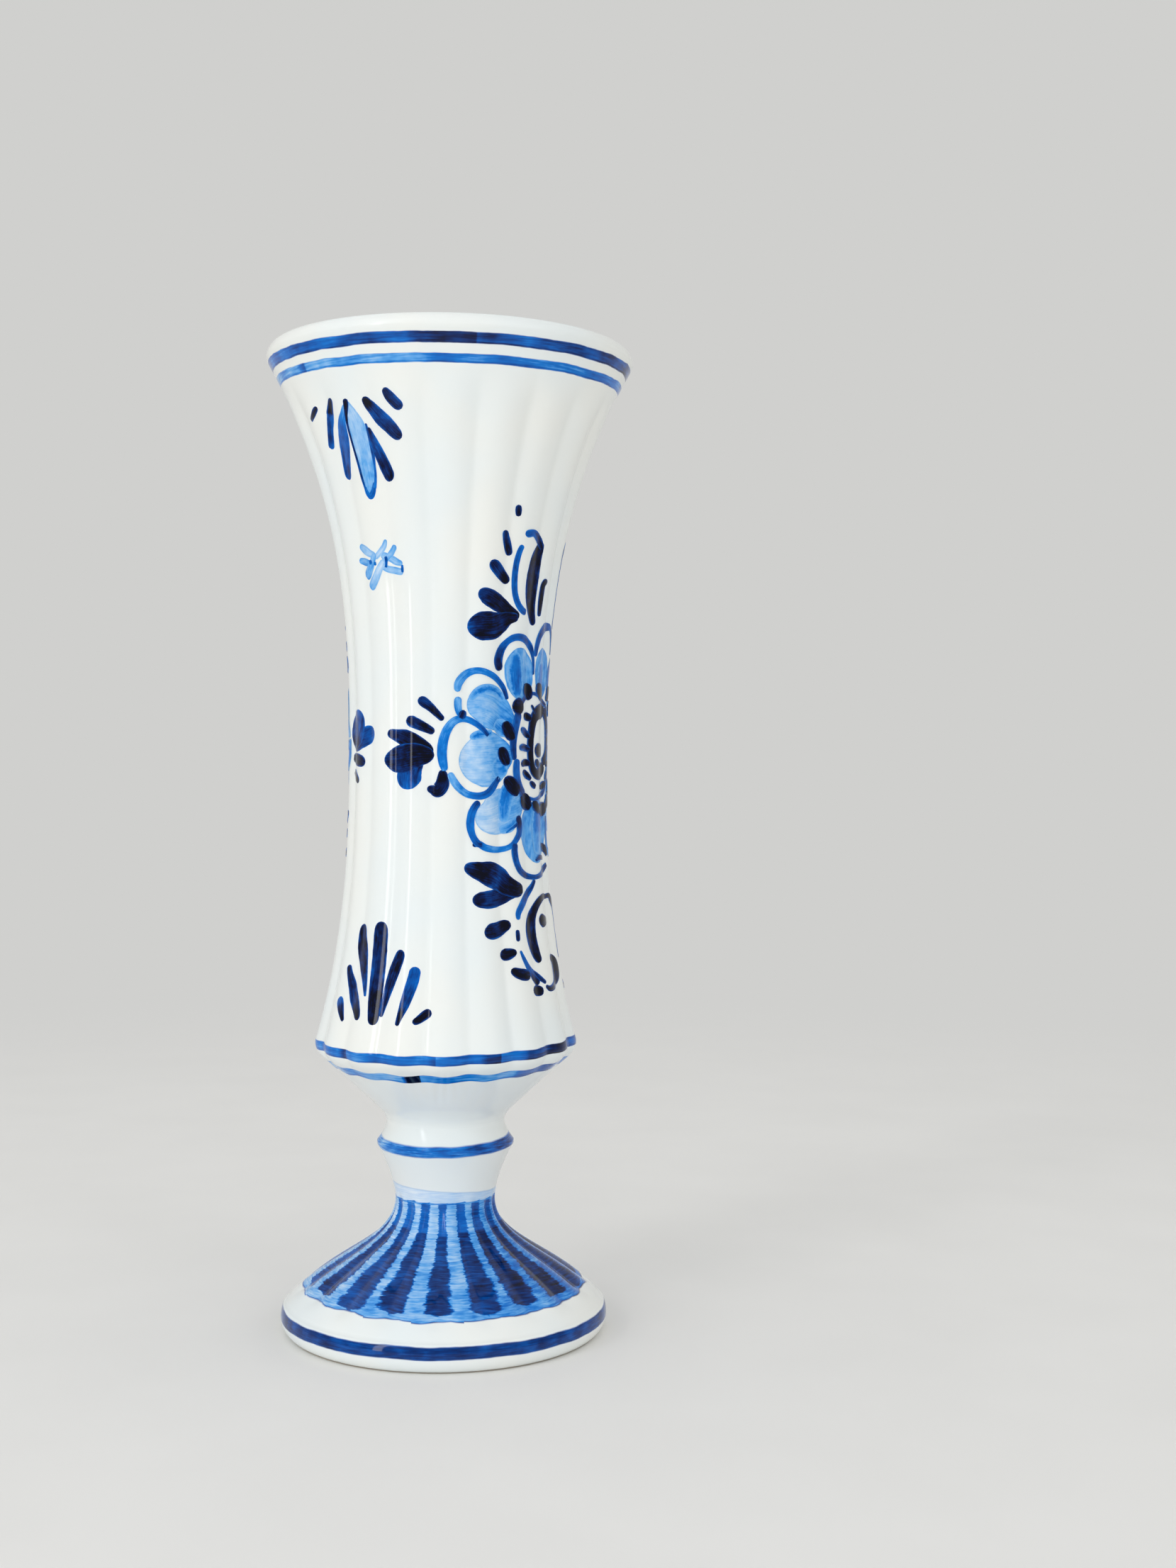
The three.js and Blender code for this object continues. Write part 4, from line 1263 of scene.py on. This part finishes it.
# %% The petals' outlines
OUTLINES = [[
    [(28.6, 125.2, 1.3, 0.94), (27.4, 127, 1.7, 0.88), (28.8, 128.9, 1.5, 0.74), (32, 130.4, 1.3, 0.64),
     (36.5, 131.3, 1.35, 0.6), (41.5, 131.5, 1.4, 0.62), (46, 131.1, 1.35, 0.66), (49.8, 130, 1.2, 0.7),
     (52.3, 128.2, 1, 0.74), (53.5, 126.2, 0.8, 0.78), (53.7, 124.8, 0.6, 0.78)],
    [(55, 128.2, 1.2, 0.8), (56.2, 130.2, 1.5, 0.76), (59, 132.2, 1.6, 0.72), (63.5, 133.6, 1.6, 0.72),
     (69, 134.1, 1.5, 0.72), (75, 133.6, 1.4, 0.74), (80, 131.6, 1.2, 0.76), (82, 129, 0.9, 0.8)],
    [(4.4, 121.2, 1.1, 0.36), (4.8, 122.7, 1.5, 0.36), (8, 124.2, 1.5, 0.4), (12.5, 125, 1.3, 0.44),
     (17.5, 125.1, 1.2, 0.48), (22.5, 124.6, 1.2, 0.5), (27, 123.7, 1.1, 0.58), (30.6, 122.4, 1, 0.72),
     (32.8, 120.9, 0.9, 0.8), (33.6, 120, 0.8, 0.82)],
    [(4.9, 120.4, 1.3, 0.34), (4.6, 119.2, 1.4, 0.36), (5, 118, 1.3, 0.4), (6.4, 116.8, 1.1, 0.5)],
    [(0.4, 106.7, 1.1, 0.3), (2.4, 105.3, 1.4, 0.32), (5.6, 103.9, 1.4, 0.36), (9.6, 102.9, 1.3, 0.42),
     (14, 102.5, 1.3, 0.54), (18.5, 102.5, 1.4, 0.6), (22.6, 103.1, 1.4, 0.58), (26, 104.4, 1.3, 0.64),
     (29.4, 106, 0.8, 0.82)],
    [(42, 98.9, 1.3, 0.96), (43.2, 97.4, 1.5, 0.84), (43.2, 95.8, 1.4, 0.7), (40.5, 94.4, 1.2, 0.62),
     (36.5, 93.3, 1.1, 0.56), (31.5, 92.8, 1.1, 0.48), (26, 92.7, 1.2, 0.42), (20.5, 93.1, 1.3, 0.46),
     (16.5, 93.8, 1.2, 0.8), (13.2, 93.4, 0.7, 0.94)],
    [(39.9, 93.9, 1.3, 0.9), (39.2, 92.3, 1.5, 0.72), (40.4, 90.3, 1.4, 0.66), (43.2, 88.7, 1.3, 0.74),
     (47.6, 87.8, 1.1, 0.76), (54, 87.4, 1, 0.74), (60.5, 87.6, 1, 0.76), (66, 88.3, 1, 0.8),
     (70.8, 89.6, 1, 0.86)],
], [
    [(22.3, 113.3, 0.8, 0.76), (19, 114.5, 1, 0.7), (15, 115.5, 1.1, 0.6), (10.8, 116.2, 1.2, 0.52),
     (6.4, 116.4, 1.3, 0.44), (2.2, 115.8, 1.5, 0.4), (-1.2, 114.3, 1.7, 0.42), (-3.2, 112.3, 1.8, 0.48),
     (-3.8, 110.2, 1.8, 0.52), (-3.2, 108.4, 1.6, 0.46), (-1.9, 106.9, 1.2, 0.44)],
    [(17.4, 101.4, 1.2, 0.86), (15, 100.7, 1.4, 0.66), (12.6, 99.1, 1.5, 0.56), (12, 97.1, 1.5, 0.54),
     (13.2, 95.3, 1.3, 0.58), (16, 93.9, 1.3, 0.72), (19, 93.5, 0.9, 0.86)],
    [(33, 95.7, 0.4, 0.55), (36.5, 96.4, 0.5, 0.66), (39.5, 96.9, 0.6, 0.74), (42.2, 97.4, 0.7, 0.86)],
    [(6, 116.3, 0.9, 0.92), (7.2, 117.1, 1.5, 0.9), (8.2, 118, 1, 0.86)],
    [(66, 93.2, 0.9, 0.9), (70, 92.3, 1.4, 0.95), (74, 91, 0.9, 0.95)],
]]
brushwork("petal_outlines", OUTLINES, **FLOWER_BRUSH, bristles=12, start=4)

# %% The flower's heart
HEART = [[
    [(43, 117.9, 1.6, 0.78), (41, 116.3, 1.9, 0.68), (39.2, 113.9, 1.7, 0.7), (38.4, 111.6, 1.6, 0.76),
     (39.4, 109, 1.2, 0.72)],
    [(41.6, 109.3, 1.4, 0.7), (41, 107.3, 1.7, 0.64), (42, 105.4, 1.6, 0.66), (44.4, 103.7, 1.6, 0.76),
     (47.6, 102.5, 1.6, 0.86)],
    [(44.5, 119.6, 1, 0.8), (48.5, 120.9, 0.9, 0.76), (54, 121.4, 0.7, 0.72), (60, 121.1, 0.7, 0.76),
     (66, 120.4, 0.8, 0.84), (71, 119.2, 0.8, 0.86)],
    [(50, 102.1, 0.8, 0.86), (56, 101.8, 0.6, 0.76), (62, 102, 0.7, 0.74), (68, 102.8, 0.7, 0.8),
     (73, 104.4, 0.8, 0.8)],
], [
    [(70, 118.7, 1.8, 1), (65.5, 118.3, 2.6, 1), (60, 117.9, 2.7, 1), (55.6, 116.6, 2.6, 1),
     (53.4, 114.2, 2.2, 1), (52.6, 111.5, 2, 1), (53.2, 108.9, 2, 1), (56, 107.1, 2.1, 1),
     (60.5, 106.5, 2.2, 1), (65.5, 107, 2.2, 1), (70, 108.3, 1.8, 1)],
], [
    [(57.2, 110.9, 2.2, 1), (61, 110.9, 2.7, 1), (66.4, 110.9, 2.2, 1)],
    [(57.8, 108.9, 1, 0.96), (60, 108.6, 1.4, 1), (62.6, 107.9, 1, 1)],
    [(47, 117.4, 1.3, 1), (50, 117, 1.5, 1), (53.6, 116.7, 1.2, 1)],
    [(52.8, 119.3, 0.5, 1), (54.6, 118.7, 0.7, 1), (57.4, 117.6, 0.5, 1)],
    [(44.4, 114.8, 0.8, 0.74), (47, 114.4, 1.2, 0.8), (49.6, 113.7, 1.1, 0.92), (52, 113.2, 0.7, 1)],
    [(43.2, 111.3, 1, 0.76), (46.5, 111.4, 1.35, 0.82), (49.5, 111.2, 1.2, 0.92), (52, 111, 0.8, 1)],
    [(45, 108.2, 1, 0.96), (48.5, 108.6, 1.4, 1), (52.2, 108.3, 0.9, 1)],
    [(46.8, 107.1, 0.9, 0.9), (49.8, 106.2, 1.2, 0.96), (53.4, 105.4, 0.8, 1)],
    [(52.4, 105.1, 0.8, 1), (55.4, 104.5, 1.3, 1), (58.8, 104, 0.9, 1)],
], [
    [(37.2, 119, 2.7, 1), (41.5, 118.9, 3.2, 1), (46.2, 119, 2.6, 1)],
    [(47.4, 123.2, 1.9, 1), (49.4, 121.8, 2.4, 1), (51.8, 120.2, 1.9, 1)],
    [(58, 123.2, 1.8, 1), (61.5, 122, 2.5, 1), (66, 120.8, 1.8, 1)],
    [(32.2, 116.1, 1.9, 1), (34.8, 114.4, 2.6, 1), (38.2, 112.6, 1.9, 1)],
    [(30, 111.4, 1.7, 1), (32, 109.8, 2.3, 1), (34.6, 108, 1.8, 1)],
    [(33, 105.9, 2.1, 1), (37.6, 104.4, 3, 1), (42.8, 102.8, 2.3, 1)],
    [(44.6, 102.6, 2.2, 1), (48.6, 101.4, 2.8, 1), (52.8, 100.1, 2.1, 1)],
    [(55, 101.3, 1.5, 1), (58.8, 100.4, 2.2, 1), (63.4, 99.6, 1.5, 1)],
    [(63.2, 99.8, 1.7, 1), (69, 99.9, 2.7, 1), (75.4, 100.4, 1.7, 1)],
    [(57, 90.4, 0.6, 0.8), (61.5, 91, 1, 0.88), (66.8, 90.7, 0.6, 0.84)],
]]
brushwork("flower_heart", HEART, **FLOWER_BRUSH, bristles=14, start=6)

# %% [markdown]
# ## The side that the photograph doesn't show
# Half of the vase is hidden, so its painting is a guess that follows the painter's own habits. The flower
# is closed with copies of its left petal, turned about its centre. Crest, trail and leaves come back
# mirrored, and so do sprig, star and fan. A smaller flower of the same kind stands at the back, where its
# leaf already peeps round the left side.

# %% Carrying a motif elsewhere
FLOWER = (62.0, 111.0)
BACK_FLOWER = (-118.0, 112.6)
BACK_SIZE = 0.64
LEFT_PETAL = 187.0
FAR_PETALS = (46.0, -3.0, -52.0)


def redrawn(groups, change):
    """The same groups of strokes with every point changed."""
    return [[[change(*point) for point in stroke] for stroke in group] for group in groups]


def mirrored(groups, axis=FLOWER[0]):
    """Groups of strokes mirrored about an azimuth."""
    return redrawn(groups, lambda azimuth, *rest: (2 * axis - azimuth, *rest))


def carried(groups, goal, turn=0.0, size=1.0):
    """Groups carried from the flower's centre to another, turned by so many degrees and resized."""
    mm_per_degree = math.radians(FLOWER_BRUSH["radius"])
    cosine, sine = size * math.cos(math.radians(turn)), size * math.sin(math.radians(turn))

    def carry(azimuth, height, width, load):
        right, up = (azimuth - FLOWER[0]) * mm_per_degree, height - FLOWER[1]
        return (goal[0] + (cosine * right - sine * up) / mm_per_degree,
                goal[1] + sine * right + cosine * up, width * size, load)
    return redrawn(groups, carry)


def far_petals(strokes):
    """Strokes of the left petal, once for every petal on the flower's far side."""
    return [stroke for way in FAR_PETALS for stroke in carried([strokes], FLOWER, way - LEFT_PETAL)[0]]


print("a far petal starts at", [round(v, 1) for v in far_petals([WASHES[2][0]])[0][0][:2]])

# %% The flower's far half
FAR_WASHES = [far_petals([WASHES[2][0]]), far_petals([WASHES[3][2], WASHES[3][6]])]
FAR_OUTLINES = [far_petals([OUTLINES[1][0]]), far_petals([OUTLINES[0][4]])]
FAR_HEART = [
    [[(70.5, 119.3, 0.9, 0.84), (76.5, 117, 1.2, 0.74), (81, 113.6, 1.4, 0.7), (81.5, 109.6, 1.3, 0.72),
      (78, 106.2, 1.1, 0.74), (72.5, 104.2, 0.8, 0.8)]],
    [[(69.5, 118.8, 2, 1), (73.5, 116.6, 2.3, 1), (75, 113.6, 2.1, 1), (74, 110.6, 2, 1),
      (69.5, 108.3, 1.9, 1)]],
]
FAR_HEART += mirrored([HEART[2][4:], [HEART[3][number] for number in (0, 1, 3, 4, 5, 6)]], 62.5)
brushwork("far_petal_washes", FAR_WASHES, **WASH_BRUSH, soft={1: 0.9}, ground={1: 0.30})
brushwork("far_petal_outlines", FAR_OUTLINES, **FLOWER_BRUSH, bristles=12, start=4)
brushwork("far_half_of_heart", FAR_HEART, **FLOWER_BRUSH, bristles=14, start=6)

# %% The mirrored motifs
FAR_CREST = mirrored(CREST[:3] + [CREST[3][:1] + CREST[3][2:]], 66.0)
FAR_TRAIL = mirrored([TRAIL[0][:1], TRAIL[1][:1]], 66.0) + mirrored([TRAIL[2][:4] + TRAIL[2][6:7]], 67.5)
brushwork("crest_on_far_side", FAR_CREST, **CREST_BRUSH)
brushwork("trail_on_far_side", FAR_TRAIL, **TRAIL_BRUSH)
brushwork("leaves_right_of_flower", mirrored(SIDE_LEAVES), **LEAF_BRUSH)
brushwork("hanging_sprig_right", mirrored(SPRIG), **SPRIG_BRUSH)
brushwork("pale_star_right", mirrored(STAR), **STAR_BRUSH)
brushwork("standing_fan_right", mirrored(FAN), **FAN_BRUSH)

# %% The flower on the back
brushwork("back_leaves_left", mirrored(BACK_LEAVES, BACK_FLOWER[0]), **LEAF_BRUSH)
for name, groups, settings in (
    ("petal_washes", WASHES + FAR_WASHES, {
        "bristles": 30, "step": 0.2, "soft": {3: 0.6, 5: 0.6}, "ground": {3: 0.30, 5: 0.30}}),
    ("petal_outlines", OUTLINES + FAR_OUTLINES, {"bristles": 10, "start": 5}),
    ("flower_heart", HEART + FAR_HEART, {"bristles": 10, "start": 9}),
    ("crest", CREST + FAR_CREST, {"bristles": 12}),
    ("trail", TRAIL + FAR_TRAIL, {"bristles": 12}),
):
    brushwork("back_" + name, carried(groups, BACK_FLOWER, size=BACK_SIZE), **FLOWER_BRUSH, **settings)

# %% [markdown]
# ## Studio: floor, light and camera
# The vase stands on a pale floor that curves up into its own backdrop, so there is no horizon. Near the
# vase the floor is real paper that takes its shadow. Further away it turns into an even tone for the camera
# and for mirrored rays, and the air beyond has the same tone. A glossy pot mirrors whatever stands around
# it, and dark paint turns grey under a bright mirror image, so that tone is palest behind the vase and
# calmer in front. The air lights the vase evenly, and lamps shape it: two weak ones hang above the mirror
# line at the left and the right, one narrow window stands at the front left for the long thin highlights
# down the flutes, and a low one that isn't mirrored fills the shade under the cone and at the neck. They
# all stay weak enough for the white glaze to keep its shape: white that clips is flat.

# %% The tone of the surroundings
TONE_BEHIND = colour(208, 208, 206)
TONE_IN_FRONT = colour(150, 150, 149)


def backdrop_tone(bench, way):
    """The tone of the surroundings in a direction from the vase: palest behind it, calmer in front."""
    depth = bench.axes(bench.vector("NORMALIZE", way))["Y"]
    return bench.mix(bench.step(depth, -0.2, 0.7), TONE_IN_FRONT, TONE_BEHIND)


def seen_ray(bench):
    """1 for rays from the camera and for mirrored or refracted rays, 0 for light on its way to a surface."""
    ray = bench.every("ShaderNodeLightPath")
    bent = bench.math("MAXIMUM", ray["Is Glossy Ray"], ray["Is Transmission Ray"])
    return bench.math("MAXIMUM", ray["Is Camera Ray"], bent)


def blended(bench, share, lit, seen, output):
    """Sends a mix of two shaders to the output: what lights the vase, and what is seen."""
    blend = bench.node("ShaderNodeMixShader", {"Fac": share})
    bench.feed_all(blend.inputs[1:], (lit.outputs[0], seen.outputs[0]))
    bench.feed(bench.tree.nodes[output].inputs["Surface"], blend.outputs[0])


print("tone behind the vase:", round(TONE_BEHIND[0], 2), "and in front:", round(TONE_IN_FRONT[0], 2))

# %% Floor and backdrop
PAPER_TO_TONE = (0.16, 0.55)


def paper():
    """Pale paper near the vase, the even tone further away."""
    made = bpy.data.materials.new("pale_paper")
    made.use_nodes = True
    bench = Bench(made.node_tree)
    surface = made.node_tree.nodes["Principled BSDF"]
    place = bench.get("ShaderNodeTexCoord", output="Object")
    tone = bench.step(grain(bench, place, 40, 40), -0.3, 0.3)
    bench.feed(surface.inputs["Base Color"], bench.mix(tone, colour(233, 232, 229), colour(236, 235, 232)))
    surface.inputs["Roughness"].default_value = 0.85
    distance = bench.get("ShaderNodeVectorMath", {"Vector": place}, "Value", operation="LENGTH")
    away = bench.step(distance, *PAPER_TO_TONE)
    glow = bench.node("ShaderNodeEmission", {"Color": backdrop_tone(bench, place), "Strength": 1.0})
    blended(bench, seen_ray(bench) * away, surface, glow, "Material Output")
    return made


def sweep():
    """Floor, a quarter-round and a wall, as one smooth sheet."""
    half, back, front, bend, tall = 3.0, 1.6, -2.2, 0.6, 2.6
    turns = np.radians(np.arange(6, 91, 6))
    side = [(front, 0.0), (back - bend, 0.0)]
    side += [(back - bend + bend * math.sin(a), bend - bend * math.cos(a)) for a in turns] + [(back, tall)]
    made = bpy.data.meshes.new("pale_sweep")
    points = [(x, y, z) for y, z in side for x in (-half, half)]
    made.from_pydata(points, [], [(2 * i, 2 * i + 1, 2 * i + 3, 2 * i + 2) for i in range(len(side) - 1)])
    made.shade_smooth()
    return made


floor = linked("pale_floor", sweep())
floor.data.materials.append(paper())
print("floor faces:", len(floor.data.polygons))

# %% Lights
def soft_light(name, place, target, size, power, mirrored=True):
    """A rectangular soft light that looks at a point. One that isn't mirrored gives no highlight."""
    lamp = bpy.data.lights.new(name, "AREA")
    lamp.shape, lamp.size, lamp.size_y, lamp.energy = "RECTANGLE", *size, power
    made = linked(name, lamp)
    made.location = place
    made.rotation_euler = (Vector(target) - Vector(place)).to_track_quat("-Z", "Y").to_euler()
    made.visible_glossy = mirrored


MIDDLE = (0.0, 0.0, 0.5 * cad_high.z)
NECK = (0.0, 0.0, foot_high.z)
soft_light("window_light", (-0.62, -0.62, 0.30), MIDDLE, (0.10, 0.8), 1.3)
soft_light("left_light", (-0.62, -0.64, 0.68), MIDDLE, (0.6, 0.6), 0.55)
soft_light("right_light", (0.56, -0.66, 0.64), MIDDLE, (0.6, 0.6), 0.42)
soft_light("bounce_light", (-0.10, -0.55, 0.02), NECK, (0.5, 0.08), 0.75, mirrored=False)

# %% The air
world = bpy.data.worlds.new("studio_air")
bpy.context.scene.world = world
world.use_nodes = True
air = Bench(world.node_tree)
way = air.get("ShaderNodeTexCoord", output="Generated")
sky = world.node_tree.nodes["Background"]
sky.inputs["Color"].default_value = colour(243, 244, 245)
sky.inputs["Strength"].default_value = 0.92
glow = air.step(air.axes(way)["Z"], 0.3, 0.62, 1.0, 1.5)
wall = air.node("ShaderNodeBackground", {"Color": backdrop_tone(air, way), "Strength": glow})
blended(air, seen_ray(air), sky, wall, "World Output")
print("the air has", len(world.node_tree.nodes), "nodes")

# %% [markdown]
# ## Camera
# The camera repeats the photograph's view of the vase, worked out from its rings: each painted ring is a
# circle of known height, and the ellipses that they make in the picture fix where the lens was and how it
# was turned.

# %% Camera
camera = linked("camera", bpy.data.cameras.new("camera"))
camera.data.lens = 43.56
camera.data.sensor_width = 36.0
camera.data.clip_start = 0.01
camera.location = (0.0, -0.36186, 0.10602)
camera.rotation_euler = [math.radians(a) for a in (89.572, -0.419, -4.216)]
bpy.context.scene.camera = camera
bpy.context.scene.view_settings.view_transform = "Standard"
print("camera at", [round(v, 3) for v in camera.location])

# %% [markdown]
# ## Sizes, then the end
# The dressed vase has to keep the size of the construction model.
